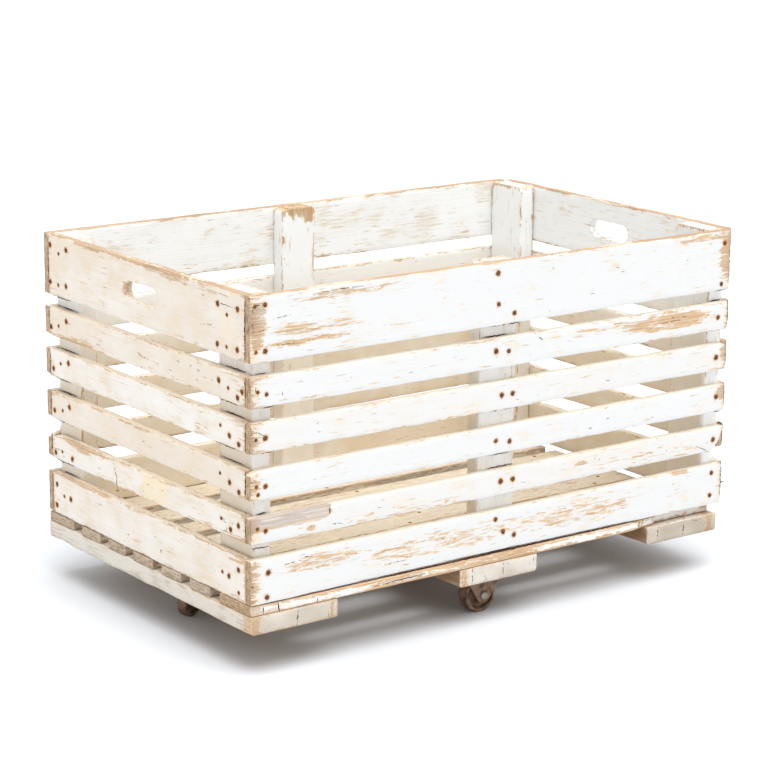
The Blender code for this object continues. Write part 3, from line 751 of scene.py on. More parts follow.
def boardMesh(node, seed, cornerRadii):
    axes = boardAxes(node)
    low, high, along, across, through = axes
    shape = boardShape
    random = np.random.default_rng(seed)
    edges = cadEdges(node, axes)
    stations = stationPlaces(low[along], high[along], shape["stationStep"], shape["endRadius"])
    stations = np.unique(np.concatenate([stations, *(places for places, values in edges)]).round(5))
    stations = stations[np.concatenate([[True], np.diff(stations) > shape["stationGap"]])]
    stations[-1] = high[along]
    lowEdge, highEdge = (np.interp(stations, *edge) for edge in edges)
    wander = [0.5 + 0.5 * smoothRandom(stations, shape["wanderLength"], seed + number) for number in (1, 2)]
    lowEdge = lowEdge + shape["edgeWander"] * wander[0]
    highEdge = highEdge - shape["edgeWander"] * wander[1]
    for name, end, edge, reach, depth in brokenCorners:
        if name == node:
            away = stations[-1] - stations if end > 0 else stations - stations[0]
            rough = 1 + shape["brokenRoughness"] * smoothRandom(stations, shape["brokenLength"], seed + 3)
            cut = depth * rough * np.clip(1 - away / reach, 0, 1) ** 1.6
            lowEdge = lowEdge + cut * (1 - edge)
            highEdge = highEdge - cut * edge
    fromEnd = np.minimum(stations - stations[0], stations[-1] - stations)
    inset = roundedInset(fromEnd, shape["endRadius"])[:, None]

    # Worn radius of each long edge, with chips knocked out of it
    radii = []
    for corner, radius in enumerate(cornerRadii):
        uneven = smoothRandom(stations, shape["wornLength"], seed + 10 + corner)
        worn = radius * (1.0 + shape["wornSpread"] * uneven)
        for chip in range(random.poisson((high - low)[along] / shape["chipSpacing"])):
            place = random.uniform(low[along], high[along])
            reach = shape["chipLength"] * random.uniform(0.5, 1.6)
            depth = shape["chipDepth"] * random.uniform(0.3, 1.0)
            worn = worn + depth * np.clip(1 - abs(stations - place) / reach, 0, 1) ** 0.8
        radii.append(np.minimum(worn, (high - low)[through] * shape["mostWorn"])[:, None])

    rows, layers = (max(2, round((high - low)[axis] / shape["rowStep"])) for axis in (across, through))
    a, b, outAcross, outThrough = boardSection(rows, layers)    # a and b are shares across and through
    corners = [(1 - a) * (1 - b), a * (1 - b), a * b, (1 - a) * b]
    radius = sum(part * worn for part, worn in zip(corners, radii))
    w = (lowEdge[:, None] + inset + radius) * (1 - a) + (highEdge[:, None] - inset - radius) * a
    t = (low[through] + inset + radius) * (1 - b) + (high[through] - inset - radius) * b
    w, t = w + radius * outAcross, t + radius * outThrough
    s = np.broadcast_to(stations[:, None], w.shape)
    ripple = smoothField(s + seed, w + t, (shape["rippleLength"], shape["rippleWidth"]), seed + 30)
    ripple = shape["ripple"] * (0.5 + 0.5 * ripple)
    points = np.empty(w.shape + (3,))
    points[..., along] = s
    points[..., across] = w - outAcross * ripple
    points[..., through] = t - outThrough * ripple
    points = points.reshape(-1, 3).tolist()
    faces = boardFaces(points, *w.shape, rows, layers)
    mesh = newMesh(node, points, faces=faces)
    recalculateNormals(mesh, shape["mergeDistance"])
    return mesh, axes, [(stations, lowEdge), (stations, highEdge)]


def cutHandSlot(mesh, axes):
    # The slot's rim is rounded over on both faces, as hands wear it
    low, high, along, across, through = axes
    centre = (low + high) / 2
    rim = boardShape["slotRim"]
    thickness = (high - low)[through]
    depths = rim * np.array((0.0, 0.15, 0.4, 1.0))
    levels = [(-rim, rim), *zip(depths, roundedInset(depths, rim))]
    levels += [(thickness - depth, grow) for depth, grow in levels[::-1]]
    points = []
    for depth, grow in levels:
        radius = handSlot["height"] / 2 + grow
        for side in (1, -1):
            for step in range(handSlot["turns"] + 1):
                turn = -side * math.pi / 2 + step * math.pi / handSlot["turns"]
                point = np.zeros(3)
                reach = side * (handSlot["length"] - handSlot["height"]) / 2
                point[along] = centre[along] + reach + radius * math.cos(turn)
                point[across] = centre[across] + radius * math.sin(turn)
                point[through] = low[through] + depth
                points.append(tuple(point))
    around = 2 * (handSlot["turns"] + 1)
    last = len(points) - around
    faces = [list(range(around)), list(range(last, len(points)))]
    for level in range(0, last, around):
        for step in range(around):
            corner, following = level + step, level + (step + 1) % around
            faces.append((corner, following, following + around, corner + around))
    cutter = newObject("slotCutter", newMesh("slotCutter", points, faces=faces))
    recalculateNormals(cutter.data)
    board = newObject("slottedBoard", mesh)
    boolean = board.modifiers.new("Hand slot", "BOOLEAN")
    boolean.operation = "DIFFERENCE"
    boolean.solver = "EXACT"
    boolean.object = cutter
    slotted = evaluatedMesh(board)
    for item in (cutter, board):
        bpy.data.meshes.remove(item.data)    # its object goes with it
    return slotted


# How the boards age, in metres and shares
ageing = {
    "endReach": 0.035,        # from a board's ends, where it wears and greys faster
    "endWear": 0.22,
    "endGreyness": 0.35,
    "unevenWear": 0.10,
    "unevenGreyness": 0.20,
    "unevenLengths": (0.16, 0.05),
    "unevenEdges": 0.25,
    "edgeLengths": (0.22, 0.3),
    "toneSpread": 0.15,       # from board to board
    "underDepth": 0.002,      # how far bare wood comes round from an unpainted side
    "patchBlend": 0.006,
    "upperDepth": 0.0025,     # the rubbed and dusty upper edges
    "upperWear": 0.10,
    "upperGreyness": 0.35,
    "rimWear": 0.62,          # the same on the cart's rim
    # Inside the box, boards and posts darken towards the floor: painted shade, with some dirt
    "insideDarkeningTop": 0.62,          # height above which the inside is not darkened
    "postDarkeningTop": 0.60,
    "darkeningFade": 0.20,
    "insideDirtAndShade": 0.85,
    "postDirtAndShade": 0.6,
    "upperSoil": 0.6,
    "rimSoil": 1.0,
    "leftDirt": (1.1, 0.024, 0.95),     # on the long front boards' ends: strength, reach and most
    "rightDirt": (0.8, 0.018, 0.7),
    "postBack": 0.006,        # a post's face against the boards
    "endFlaking": 0.30,       # flakes lie along the grain, so the bearers' ends have fewer
    "nailReach": 0.05,
    "farAway": 1.0,           # on the nail map, out of every nail's reach
}


def placedWear(node, s, w, outer, wear, weathered):
    # The worn places and patches, on the outer face where the photograph shows that face
    everywhere = not node.startswith(("long_board_front", "end_board_left"))
    for *spot, amount, grey in wornPlaces.get(node, ()):
        centreAlong, centreAcross, reachAlong, reachAcross = (value / 1000 for value in spot)
        near = np.hypot((s - centreAlong) / reachAlong, (w - centreAcross) / reachAcross)
        near = np.clip(1.5 - 1.5 * near ** 2, 0, 1) * (outer | everywhere)
        wear = np.maximum(wear, wear * (1 - near) + amount * near)
        within = np.clip(near * 3, 0, 1)
        weathered = weathered * (1 - within) + grey * within
    yellowed = np.zeros(len(s))
    for name, spanAlong, spanAcross, amount, grey, yellow in patches:
        if name == node:
            inside = np.minimum(np.minimum(s - spanAlong[0], spanAlong[1] - s),
                                np.minimum(w - spanAcross[0], spanAcross[1] - w))
            inside = np.clip(0.5 + inside / ageing["patchBlend"], 0, 1) * outer
            wear = wear * (1 - inside) + np.maximum(wear, amount) * inside
            weathered = weathered * (1 - inside) + np.maximum(weathered, grey) * inside
            yellowed = np.maximum(yellowed, yellow * inside)
    return wear, weathered, yellowed


def dirtAndShadeOf(node, seed, axes, edges, s, w, t, points, wear, weathered):
    # The upper edges are rubbed and dusty, the rim most of all; inside the box the boards and posts darken
    # towards the floor, painted shade with some dirt
    low, high, along, across, through = axes
    rim = node.endswith("_1")
    soil = np.zeros(len(s))
    if node.startswith(posts):
        # A post darkens towards the floor on every face but the one against the boards: painted shade, with
        # some dirt
        y = abs(points[:, 1])
        soil = np.clip((ageing["postDarkeningTop"] - points[:, 2]) / ageing["darkeningFade"], 0, ageing["postDirtAndShade"])
        soil = soil * (y < y.max() - ageing["postBack"])
    elif across == 2:
        upper = np.clip(1 - (np.interp(s, *edges[1]) - w) / ageing["upperDepth"], 0, 1)
        rubbed = ageing["upperWear"]
        if rim:
            rubbed = ageing["rimWear"] + 0.25 * smoothField(s + seed, t, (0.09, 0.3), seed + 90)
        wear = np.maximum(wear, rubbed * upper)
        weathered = np.maximum(weathered, ageing["upperGreyness"] * upper)
        # The inner faces darken towards the floor: painted shade, with some dirt
        inward = (t > (low + high)[through] / 2) ^ node.startswith(farWalls)
        soil = inward * np.clip((ageing["insideDarkeningTop"] - w) / ageing["darkeningFade"], 0, ageing["insideDirtAndShade"])
        soil = np.maximum(soil, upper * ageing["rimSoil" if rim else "upperSoil"])
        if node.startswith("long_board_front"):
            for away, name in ((s - low[along], "leftDirt"), (high[along] - s, "rightDirt")):
                strength, reach, most = ageing[name]
                soil = np.maximum(soil, np.clip(strength - away / reach, 0, most))
        if node == "end_board_left_1":  # a smear of dirt under the near end of the rim
            smear = 0.5 + 0.5 * smoothField(s, w, (0.016, 0.5), seed + 95)
            smear = smear * np.clip(1 - (high[across] - w) / 0.045, 0, 1) * np.clip((s + 0.10) / 0.12, 0, 1)
            soil = np.maximum(soil, smear)
    return soil, wear, weathered


def addWear(node, mesh, axes, edges, seed, places):
    # Measures what the paint needs: where each point is, how near an edge, how worn
    low, high, along, across, through = axes
    points = readArray(mesh.vertices, "co", 3)
    s, w, t = points[:, along], points[:, across], points[:, through]
    fromSides = w - np.interp(s, *edges[0]), np.interp(s, *edges[1]) - w
    fromFace = np.minimum(t - low[through], high[through] - t)
    fromEnd = np.minimum(s - low[along], high[along] - s)
    reach = np.sort(np.stack([np.minimum(*fromSides), fromFace, fromEnd]), axis=0)[1]
    if node in handSlot["nodes"]:
        centre = (low + high) / 2
        straight = np.clip(abs(s - centre[along]) - (handSlot["length"] - handSlot["height"]) / 2, 0, None)
        rim = np.hypot(straight, w - centre[across]) - handSlot["height"] / 2
        reach = np.where(rim < handSlot["wornReach"], np.minimum(reach, np.maximum(rim, 0)), reach)
    family = next(name for name in boardWear if node.startswith(name))
    level = dict(zip(wearNames, boardWear[family]))
    rough = smoothField(s + seed * 3.7, w + t, ageing["unevenLengths"], seed + 50)
    nearEnd = np.clip(1 - fromEnd / ageing["endReach"], 0, 1)
    wear = level["wear"] + ageing["unevenWear"] * rough + ageing["endWear"] * nearEnd
    weathered = level["weathered"] + ageing["endGreyness"] * nearEnd + ageing["unevenGreyness"] * rough
    # Nobody painted under the cart: undersides and the bearers' inner sides are bare brown wood
    bareSides = [t - low[through]] if node.startswith(("bearer", "floor_board")) else []
    bareSides += [fromSides[1]] if node in ("bearer_left", "bearer_middle") else []
    bareSides += [fromSides[0]] if node in ("bearer_right", "bearer_middle") else []
    under = np.zeros(len(s))
    for fromSide in bareSides:
        under = np.maximum(under, np.clip(1 - fromSide / ageing["underDepth"], 0, 1))
    outer = t < (low + high)[through] / 2
    wear, weathered, yellowed = placedWear(node, s, w, outer, wear, weathered)
    soil, wear, weathered = dirtAndShadeOf(node, seed, axes, edges, s, w, t, points, wear, weathered)
    endFace = fromEnd < boardShape["endRadius"] * 0.3
    if node.startswith("bearer"):
        wear = wear - ageing["endFlaking"] * endFace
        soil = endFace * (endGrimeAndShade[node] + 0.35 * smoothField(w, t, (0.05, 0.03), seed + 97))
    uneven = smoothField(s + seed * 2.1, w + t, ageing["edgeLengths"], seed + 70)
    values = {
        "edgeReach": reach,
        "soil": soil,
        "yellowed": yellowed,
        "wear": np.maximum(wear, under),
        "under": under,
        "weathered": np.clip(weathered, 0, 1),
        "endGrain": level["endBare"] * endFace,
        "tone": np.full(len(s), level["tone"] + ageing["toneSpread"] * math.sin(seed * 2.4)),
        "edgeWear": level["edgeWear"] + ageing["unevenEdges"] * uneven,
        "boardPoint": np.stack([s + seed * 1.37, w + seed * 0.29, t], -1),
    }
    for name, value in values.items():
        setAttribute(mesh, name, value)
    mesh.uv_layers.new(name="nailSpot").data.foreach_set("uv", nailMap(mesh, axes, s, w, places).ravel())


def nailMap(mesh, axes, s, w, places):
    # Metres from the nearest nail for each corner, the same nail for every corner of a face
    low, high, along, across, through = axes
    slack = 0.002
    offsets = np.full((len(mesh.loops), 2), ageing["farAway"], np.float32)
    inside = np.array([
        (point[along], point[across], outward[through], radius) for point, outward, radius in places
        if abs(outward[through]) > 0.5
        and all(low[axis] - slack <= point[axis] <= high[axis] + slack for axis in range(3))])
    if not len(inside):
        return offsets
    centres = readArray(mesh.polygons, "center", 3)
    normals = readArray(mesh.polygons, "normal", 3)
    apart = np.hypot(centres[:, along, None] - inside[:, 0], centres[:, across, None] - inside[:, 1])
    apart = np.where(normals[:, through, None] * inside[:, 2] > 0.3, apart, 10)
    corners = readArray(mesh.polygons, "loop_total", kind=int)
    vertex = readArray(mesh.loops, "vertex_index", kind=int)
    chosen = inside[np.repeat(apart.argmin(1), corners)]
    close = np.repeat(apart.min(1) < ageing["nailReach"], corners)
    scale = nails["headRadius"] / chosen[:, 3]
    found = np.stack([(s[vertex] - chosen[:, 0]) * scale, (w[vertex] - chosen[:, 1]) * scale], -1)
    offsets[close] = found[close]
    return offsets


def makeBoards(materials, places):
    names = [name for name in frame["nodes"] if name.startswith(tuple(boardWear))]
    for seed, node in enumerate(sorted(names), start=1):
        cornerRadii = [boardShape["edgeRadius"]] * 4
        slot = "painted_boards"
        if node.startswith("bearer"):
            cornerRadii[:2] = [boardShape["bearerRadius"]] * 2
            slot = "bearers"
        if node.startswith("floor"):
            slot = "floor_boards"
        paint = materials["painted_boards" if node == "floor_board_1" else slot]
        # The long front side takes a darker copy of the paint: painted shade against the full sun on it
        if node.startswith("long_board_front"):
            paint = materials["front_boards"]
        if node.startswith((*farWalls, "corner_post_back_right", "mid_post_back")):
            paint = materials["back_boards"]
        mesh, axes, edges = boardMesh(node, seed, cornerRadii)
        if node in handSlot["nodes"]:
            mesh = cutHandSlot(mesh, axes)
        addWear(node, mesh, axes, edges, seed, places)
        mesh.shade_smooth()
        mesh.set_sharp_from_angle(angle=math.radians(boardShape["smoothAngle"]))
        piece = newPiece("aged_" + node, mesh, paint)
        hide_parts(node)
        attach(piece, cartBody)
    print("boards:", len(names))


def newTree(name, sockets):
    # A Geometry Nodes tree that takes a mesh and the named inputs, each a kind and a default
    tree = bpy.data.node_groups.new(name, "GeometryNodeTree")
    for way in ("INPUT", "OUTPUT"):
        tree.interface.new_socket("Geometry", in_out=way, socket_type="NodeSocketGeometry")
    for title, (kind, value) in sockets.items():
        socket = tree.interface.new_socket(title, in_out="INPUT", socket_type="NodeSocket" + kind)
        socket.default_value = value
    return tree, addNode(tree, "NodeGroupInput").outputs


def bakedMesh(name, mesh, tree, settings):
    # Runs a Geometry Nodes tree over a mesh and keeps the plain result
    holder = newObject(name, mesh)
    modifier = holder.modifiers.new(name, "NODES")
    modifier.node_group = tree
    for item in tree.interface.items_tree:
        if item.item_type == "SOCKET" and item.in_out == "INPUT" and item.name in settings:
            modifier[item.identifier] = settings[item.name]
    baked = evaluatedMesh(holder)
    bpy.data.objects.remove(holder, do_unlink=True)
    baked.shade_smooth()
    return baked


def nailHeadTree(material):
    # One low dome, set on each point and tipped a little, then bumped out of true
    tree, given = newTree("nailHeads", {"Head height share": ("Float", nails["heightShare"]),
                                        "Tilt": ("Float", nails["tilt"]),
                                        "Roughness": ("Float", nails["roughness"])})
    dome = addNode(tree, "GeometryNodeMeshUVSphere", {"Segments": 12, "Rings": 6, "Radius": 1.0})
    flat = addNode(tree, "ShaderNodeCombineXYZ", {0: 1.0, 1: 1.0, 2: given["Head height share"]})
    dome = addNode(tree, "GeometryNodeTransform", {"Geometry": dome, "Scale": flat})
    outward = addNode(tree, "GeometryNodeInputNamedAttribute", {"Name": "outward"}, data_type="FLOAT_VECTOR")
    radius = addNode(tree, "GeometryNodeInputNamedAttribute", {"Name": "headRadius"}, data_type="FLOAT")
    straight = addNode(tree, "FunctionNodeAlignRotationToVector", {"Vector": outward}, axis="Z")
    tilt = addNode(tree, "ShaderNodeVectorMath", {0: (1.0, 1.0, 0.0), 3: given["Tilt"]}, operation="SCALE")
    back = addNode(tree, "ShaderNodeVectorMath", {0: tilt, 3: -1.0}, operation="SCALE")
    tip = addNode(tree, "FunctionNodeRandomValue", {0: back, 1: tilt, "Seed": 3}, data_type="FLOAT_VECTOR")
    turn = addNode(tree, "FunctionNodeRotateRotation", {"Rotation": straight, "Rotate By": tip},
                   rotation_space="LOCAL")
    heads = addNode(tree, "GeometryNodeInstanceOnPoints", {
        "Points": given["Geometry"], "Instance": dome, "Rotation": turn, "Scale": radius})
    real = addNode(tree, "GeometryNodeRealizeInstances", {"Geometry": heads})
    noise = addNode(tree, "ShaderNodeTexNoise", {"Scale": 260.0, "Detail": 1.0})
    centred = addNode(tree, "ShaderNodeVectorMath", {0: noise.outputs["Color"], 1: (0.5, 0.5, 0.5)},
                      operation="SUBTRACT")
    push = addNode(tree, "ShaderNodeVectorMath", {0: centred, 3: given["Roughness"]}, operation="SCALE")
    rough = addNode(tree, "GeometryNodeSetPosition", {"Geometry": real, "Offset": push})
    finished = addNode(tree, "GeometryNodeSetMaterial", {"Geometry": rough, "Material": material})
    addNode(tree, "NodeGroupOutput", {"Geometry": finished})
    return tree


def screwPlaces():
    # Four round-headed screws hold each caster plate up to its bearer
    places = []
    inset = plateScrews["inset"]
    for node in frame["nodes"]:
        if node.endswith(("_bracket", "_top_plate")):
            low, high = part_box(node)
            for x in (low.x + inset, high.x - inset):
                for y in (low.y + inset, high.y - inset):
                    point = Vector((x, y, high.z - plateScrews["plateThickness"]))
                    places.append((point, Vector((0, 0, -1)), plateScrews["headRadius"]))
    return places


def makeNails(name, material, places, heightShare):
    mesh = newMesh(name, [tuple(point - outward * nails["sunk"]) for point, outward, radius in places])
    setAttribute(mesh, "outward", np.array([tuple(outward) for point, outward, radius in places]))
    setAttribute(mesh, "headRadius", np.array([radius for point, outward, radius in places]))
    baked = bakedMesh(name, mesh, nailHeadTree(material), {"Head height share": heightShare})
    piece = newPiece(name, baked, material)
    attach(piece, cartBody)
    print(name + ":", len(places))


# Splits, seams and scratches: dark tapered lines let into the wood, and splinters that stand out of it
splits = {
    "sunk": 0.55,             # share of the half width below the surface
    "streakSunk": 0.9,
    "step": 0.004,
    "wander": 0.0005,
    "sides": 6,
    "scratches": 150,
    "scratchWidth": 0.35,     # mm, half
    "scratchLength": (0.004, 0.016),
    "scratchSlope": 0.08,
    "scratchInset": (0.030, 0.014),     # from a board's ends and from its edges
    "seamWidth": (0.7, 1.2),            # mm, half
    "seamGaps": 0.3,                    # share of the seams that stay clean
    "jointWidth": (0.5, 1.3),           # mm, half
    "seed": 11,
    # By board, in mm: half width, then x and z, or y and z, of each point in turn. The order sets what
    # each line draws at random.
    "named": (
        ("long_board_front_1", (0.8, -608.5, 718.5, -603, 717.2, -581, 716),
            (0.7, -603.5, 716.5, -600.5, 700, -604, 688, -601.5, 670), (0.5, -605, 668, -570, 670.5),
            (0.5, -560, 688, -515, 692), (0.5, -560, 640, -500, 636),
            (0.6, -470, 723, -400, 727, -350, 726)),
        ("long_board_front_2", (0.6, 395, 557, 440, 560, 480, 556.5), (0.5, 420, 566.5, 500, 564),
            (0.5, 350, 552, 410, 550), (0.7, -600.5, 569.5, -596, 562, -598.5, 549.8),
            (0.9, -537.2, 549, -538, 541)),
        ("long_board_front_4", (0.7, -608, 479, -590, 477, -578.5, 470), (0.9, -606, 463, -592, 464)),
        ("long_board_front_5", (1.7, -433.5, 308.5, -428.5, 307.8, -429, 300, -430.9, 291.6),
            (0.6, -476.5, 276.8, -470, 278.5, -464, 276.8), (0.6, -431.3, 273.4, -396.8, 270.4),
            (1.1, -608.5, 256.2, -587, 254.8, -566.4, 254.5)),
        ("long_board_front_6", (1.3, -608.5, 183, -603.2, 179), (0.6, -494.6, 219.2, -470, 218.5),
            (0.5, -540, 212, -490, 214.5), (0.5, -300, 169, -240, 168)),
        ("floor_board_1", (1.0, -580.9, 138.5, -580, 123.5), (1.2, -546.9, 140.5, -545.5, 131, -544, 122.5),
            (0.9, -455.5, 133, -456.6, 122.5), (0.8, -330, 129, -250, 131, -180, 130)),
        ("bearer_left", (1.5, -501, 123, -502.5, 102, -504, 83),
            (0.9, -431.7, 122.5, -431, 100, -431.5, 85), (0.5, -570, 98, -550, 99)),
        ("bearer_middle", (1.2, -81.4, 122, -80.5, 101, -81.6, 84), (1.0, -1.3, 122, -1.8, 100, -0.7, 83),
            (0.5, 75, 116, 80, 99)),
        ("bearer_right", (1.2, 487.5, 122, 488.5, 104, 487.3, 84), (0.8, 415.9, 122, 415, 102, 415.5, 85),
            (0.4, 500, 115.5, 560, 115)),
        ("long_board_front_5", (0.7, 513.8, 279.8, 535, 270, 555.4, 259.8)),
        ("long_board_front_2", (0.6, 58.9, 587.8, 81.7, 569.4, 98.9, 556.1)),
        ("long_board_front_5", (1.2, 232, 296.5, 237, 296.5)),
        ("end_board_left_5", (0.5, 115.2, 311.7, 111.6, 295.1, 104.2, 280.9, 102.2, 249.4),
            (0.6, 282.7, 276, 266.8, 279.7, 247, 305.4, 237.3, 314.1), (2.4, 288, 275, 279, 276.2),
            (0.6, -282, 291.9, -297.9, 285.4, -300.4, 271, -276.4, 266.3)),
        ("end_board_left_1", (0.6, -215.1, 654.9, -258.8, 660.9)),
        ("end_board_left_2", (0.6, 19.7, 555.8, -1.7, 548.5, -27.3, 548.1)),
        ("end_board_left_6", (1.2, -62.5, 172.1, -64, 165), (1.3, -94, 190.6, -100, 190)),
        ("end_board_left_1", (0.6, -340, 705, -260, 706)),
        ("end_board_left_5", (0.8, 95, 253, 110, 250)),
        ("end_board_left_2", (0.6, 26, 551, 26.5, 544)),
    ),
    # Narrow streaks of bare pine, in the same terms
    "streaks": (
        ("long_board_front_1", (1.1, -358.4, 648, -310, 645, -268, 641.7, -211.1, 643.6, -163.9, 637.7),
            (1.3, -585, 645, -510, 639, -411.2, 637.2, -358.4, 648),
            (0.8, -565.8, 670.1, -515, 668, -470, 669),
            (0.8, -437.7, 714.8, -360, 719, -269.1, 725.6, -200, 729)),
        ("long_board_front_5", (1.2, 464.1, 281.4, 490, 281.5, 513.8, 279.8)),
        ("long_board_front_6", (1.3, -423, 212, -390.6, 211.8, -350, 216),
            (1.4, 241.2, 176.8, 300, 177.5, 350.4, 177.6), (1.2, -254, 199.4, -200, 199, -164, 199.8)),
        ("end_board_left_4", (1.2, -30, 396, -90, 395, -150, 393.5)),
        ("end_board_left_6", (1.0, -80, 213, -145, 204.7, -172.8, 210)),
        ("end_board_left_3", (0.9, 180, 478, 90, 479, -20, 480)),
    ),
    # Half width in mm, then points in metres
    "splinters": (
        (1.5, ((0.4985, -0.3740, 0.1200), (0.4990, -0.3742, 0.1300), (0.5000, -0.3735, 0.1390))),
        (1.3, ((0.3640, -0.3780, 0.1250), (0.3665, -0.3790, 0.1380))),
        (1.1, ((0.3720, -0.3770, 0.1260), (0.3735, -0.3785, 0.1370))),
        (1.2, ((0.3800, -0.3720, 0.1270), (0.3790, -0.3750, 0.1380))),
    ),
    "bentNail": ((1.2, ((0.5900, -0.3760, 0.1860), (0.5960, -0.3810, 0.1868), (0.6020, -0.3830, 0.1895))),),
}


def facePoint(node, first, height, inward):
    # A point on a wall board's outer face, or on the front of any other board
    low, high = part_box(node)
    if node.startswith("end_board"):
        return Vector((high.x - inward if node.startswith(farWalls) else low.x + inward, first, height))
    return Vector((first, high.y - inward if node.startswith(farWalls) else low.y + inward, height))


def facePaths(groups, sunk):
    # (half width, points) for each line drawn on a face
    paths = []
    for node, *lines in groups:
        for width, *spots in lines:
            spots = [value / 1000 for value in spots]
            path = [facePoint(node, *spot, width * sunk / 1000) for spot in zip(spots[::2], spots[1::2])]
            paths.append((width, path))
    return paths


def seamPaths():
    # Dark lines where each row of boards crosses a post: grime, and painted contact shade along the rows'
    # edges
    paths = []
    random = np.random.default_rng(splits["seed"])
    seams = [(wall, "corner_post_" + corner) for wall, corners in (
        ("long_board_front", ("front_left", "front_right")), ("long_board_back", ("back_left", "back_right")),
        ("end_board_left", ("front_left", "back_left")), ("end_board_right", ("front_right", "back_right")),
    ) for corner in corners]
    seams += [("long_board_front", "mid_post_front"), ("long_board_back", "mid_post_back")]
    for node, post in [(f"{wall}_{row}", post) for wall, post in seams for row in range(1, 7)]:
        axes = boardAxes(node)
        low, high, along, across, through = axes
        postLow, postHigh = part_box(post)
        start = max(low[along], postLow[along]) + 0.002
        end = min(high[along], postHigh[along]) - 0.001
        outerFace, innerFace = (high, low) if node.startswith(farWalls) else (low, high)
        outerFace, innerFace = outerFace[through], innerFace[through]
        for side, edge in enumerate(cadEdges(node, axes)):
            gone = any(name == node and way == side for name, end, way, reach, depth in brokenCorners)
            hidden = node.endswith("_1") if side else node.endswith("_6")
            if hidden or random.random() < splits["seamGaps"] or gone:
                continue
            width = random.uniform(*splits["seamWidth"])
            trim = random.uniform(0, 0.25, 2) * (end - start)
            point = np.zeros(3)
            point[through] = innerFace if side else outerFace + (innerFace - outerFace) * 0.08
            path = []
            for place in (start + trim[0], (start + end) / 2, end - trim[1]):
                point[along] = place
                point[across] = np.interp(place, *edge) + (0.0004 if side else 0.0006)
                path.append(Vector(point))
            paths.append((width, path))
    return paths + jointPaths(random)


def jointPaths(random):
    # Dirt in the upright joints where the end boards butt against the long ones
    paths = []
    for wall in ("end_board_left", "end_board_right"):
        for row in range(1, 7):
            low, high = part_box(f"{wall}_{row}")
            for y in (low.y, high.y):
                heights = (low.z + 0.002, (low.z + high.z) / 2, high.z - 0.002)
                points = [facePoint(f"{wall}_{row}", y, height, 0.0008) for height in heights]
                paths.append((random.uniform(*splits["jointWidth"]), points))
    # A dark line under the lowest front board, widest where that board has warped off the floor: painted
    # shade in the gap
    low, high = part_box("floor_board_1")
    for start, end, width in ((low.x + 0.03, 0.42, 0.7), (-0.30, 0.33, 1.5)):
        places = (start, (start + end) / 2, end)
        paths.append((width, [Vector((x, low.y + 0.0025, high.z + width / 1000)) for x in places]))
    return paths


def scratchPaths():
    # Short dark scratches scattered over the outer faces, nearly along the grain
    paths = []
    random = np.random.default_rng(splits["seed"] + 1)
    walls = ("long_board_front", "long_board_back", "end_board_left", "end_board_right")
    for number in range(splits["scratches"]):
        node = f"{walls[random.integers(4)]}_{random.integers(1, 7)}"
        low, high, along, across, through = boardAxes(node)
        length = random.uniform(*splits["scratchLength"])
        start, height = (random.uniform(low[axis] + inset, high[axis] - inset)
                         for axis, inset in zip((along, across), splits["scratchInset"]))
        slope = random.normal(0, splits["scratchSlope"])
        if node in handSlot["nodes"] and abs(start) < 0.09:
            continue
        width = splits["scratchWidth"] * random.uniform(0.7, 1.6)
        ends = [(start, height), (start + length, height + slope * length)]
        paths.append((width, [facePoint(node, *end, width * splits["sunk"] / 1000) for end in ends]))
    return paths


def pathMesh(name, paths, wander):
    # Edges along each path, with the half width at every point in metres
    random = np.random.default_rng(splits["seed"] + 2)
    points = []
    edges = []
    widths = []
    for width, path in paths:
        path = [Vector(point) for point in path]
        legs = [(b - a).length for a, b in zip(path, path[1:])]
        count = max(3, round(sum(legs) / splits["step"]))
        for step in range(count + 1):
            reach = step / count * sum(legs)
            leg = 0
            while leg < len(legs) - 1 and reach > legs[leg]:
                reach -= legs[leg]
                leg += 1
            point = path[leg].lerp(path[leg + 1], reach / legs[leg])
            taper = math.sin(math.pi * (0.08 + 0.84 * step / count))
            points.append(tuple(point + Vector(random.normal(0, wander, 3))))
            widths.append(width / 1000 * taper * random.uniform(0.75, 1.2))
            if step:
                edges.append((len(points) - 2, len(points) - 1))
    mesh = newMesh(name, points, edges)
    setAttribute(mesh, "halfWidth", np.array(widths))
    return mesh


def pathTree(name, material):
    # Sweeps a ring along each path, as wide as the path says
    tree, given = newTree(name, {"Sides": ("Int", splits["sides"]), "Width share": ("Float", 1.0)})
    line = addNode(tree, "GeometryNodeMeshToCurve", {"Mesh": given["Geometry"]})
    width = addNode(tree, "GeometryNodeInputNamedAttribute", {"Name": "halfWidth"}, data_type="FLOAT")
    width = addNode(tree, "ShaderNodeMath", {0: width, 1: given["Width share"]}, operation="MULTIPLY")
    ring = addNode(tree, "GeometryNodeCurvePrimitiveCircle", {"Resolution": given["Sides"], "Radius": 1.0})
    swept = addNode(tree, "GeometryNodeCurveToMesh", {"Curve": line, "Profile Curve": ring, "Scale": width,
                                                      "Fill Caps": True})
    real = addNode(tree, "GeometryNodeRealizeInstances", {"Geometry": swept})
    finished = addNode(tree, "GeometryNodeSetMaterial", {"Geometry": real, "Material": material})
    addNode(tree, "NodeGroupOutput", {"Geometry": finished})
    return tree


def makeSplits(dark, wood, iron):
    named = facePaths(splits["named"], splits["sunk"])
    standing = facePaths(splits["streaks"], splits["streakSunk"]) + list(splits["splinters"])
    for name, paths, wander, material, slot in (
        ("splits", named + scratchPaths() + seamPaths(), splits["wander"], dark, "painted_boards"),
        ("splinters", standing, 0.0, wood, "floor_boards"),
        ("bentNail", splits["bentNail"], 0.0, iron, "caster_iron"),
    ):
        baked = bakedMesh(name, pathMesh(name, paths, wander), pathTree(name, material), {"Width share": 1.0})
        piece = newPiece(name, baked, material)
        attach(piece, cartBody)
    print("splits:", len(named))


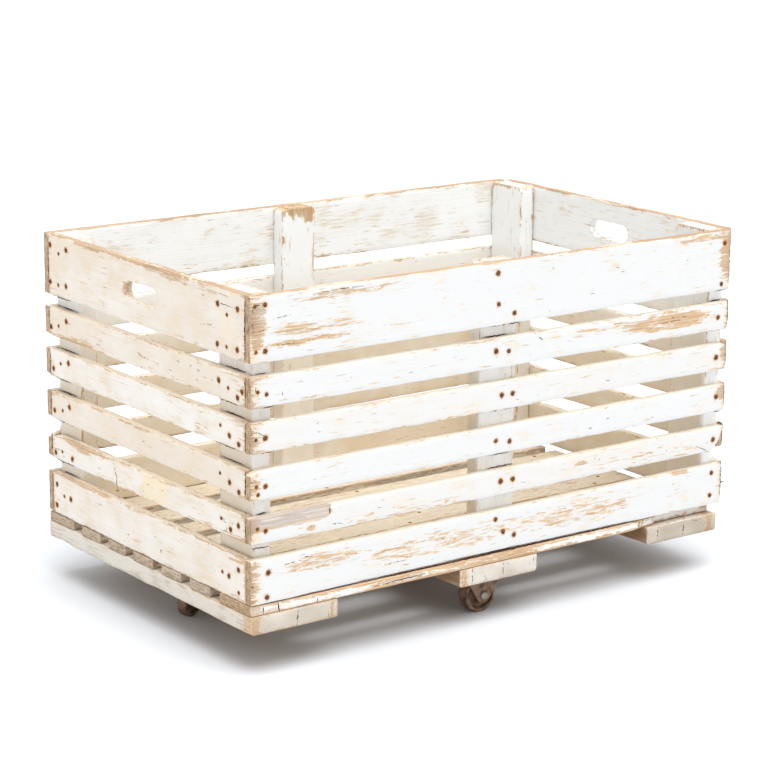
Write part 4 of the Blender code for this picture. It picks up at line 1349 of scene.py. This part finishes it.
# Casters: bent sheet, turned wheels and riveted pins, rusted together for years but still turning
casterShape = {
    "bevel": 0.0005,          # metres
    "bevelSegments": 2,
    "mergeDistance": 0.00002,
    "flatAngle": 1.0,         # degrees
    "sharpAngle": 28.0,
    "smoothAngle": 40.0,
}


def makeCasterParts(iron, steel):
    bodies = frame["record"]["behaviour"]["bodies"]
    bodyOf = {node: body for body, members in bodies.items() for node in members}
    names = [name for name in frame["nodes"] if "_caster_" in name]
    flat, sharp, smooth = (math.radians(casterShape[name])
                           for name in ("flatAngle", "sharpAngle", "smoothAngle"))
    for node in sorted(names):
        bare = node.endswith(("_axle", "_kingpin"))
        shapeMesh = bmesh.new()
        shapeMesh.from_mesh(bpy.data.objects[node].data)
        bmesh.ops.remove_doubles(shapeMesh, verts=shapeMesh.verts, dist=casterShape["mergeDistance"])
        bmesh.ops.dissolve_limit(shapeMesh, angle_limit=flat, verts=shapeMesh.verts, edges=shapeMesh.edges)
        creases = [edge for edge in shapeMesh.edges
                   if len(edge.link_faces) == 2 and edge.calc_face_angle() > sharp]
        rubbed = shapeMesh.verts.layers.float.new("rubbed")
        bevelled = bmesh.ops.bevel(shapeMesh, geom=creases, offset=casterShape["bevel"], profile=0.5,
                                   segments=casterShape["bevelSegments"], affect="EDGES", clamp_overlap=True)
        for vertex in {vertex for face in bevelled["faces"] for vertex in face.verts}:
            vertex[rubbed] = 1.0
        mesh = bpy.data.meshes.new(node)
        shapeMesh.to_mesh(mesh)
        shapeMesh.free()
        mesh.shade_smooth()
        mesh.set_sharp_from_angle(angle=smooth)
        piece = newPiece("rusted_" + node, mesh, steel if bare else iron)
        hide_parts(node)
        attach(piece, bodyOf[node])
    print("caster parts:", len(names))


makeCamera()
makeStudio()
print("camera and studio ready")
materials = {
    "painted_boards": paintedPine("brushedPaintOnPine", wallPaint),
    "front_boards": paintedPine("dimmedFrontPaintOnPine", dimmedFrontPaint),
    "back_boards": paintedPine("coolPaintOnPine", coolPaint),
    "floor_boards": paintedPine("trampledAndShadedPaintOnPine", floorPaint),
    "bearers": paintedPine("wornPaintOnSawnPine", bearerPaint),
}
iron = rustedMetal("rustedCastIron", rustyIron)
steel = rustedMetal("wornSteelPin", wornSteel)
nailIron = rustedMetal("rustedWireNail", rustedNail)
places = nailPlaces()
makeBoards(materials, places)
makeNails("nailHeads", nailIron, places, nails["heightShare"])
makeNails("plateScrews", iron, screwPlaces(), plateScrews["heightShare"])
makeSplits(speckledWood("dirtAndShadeLines", splitDirtAndShade), speckledWood("splitPine", splinterPine), nailIron)
makeCasterParts(iron, steel)
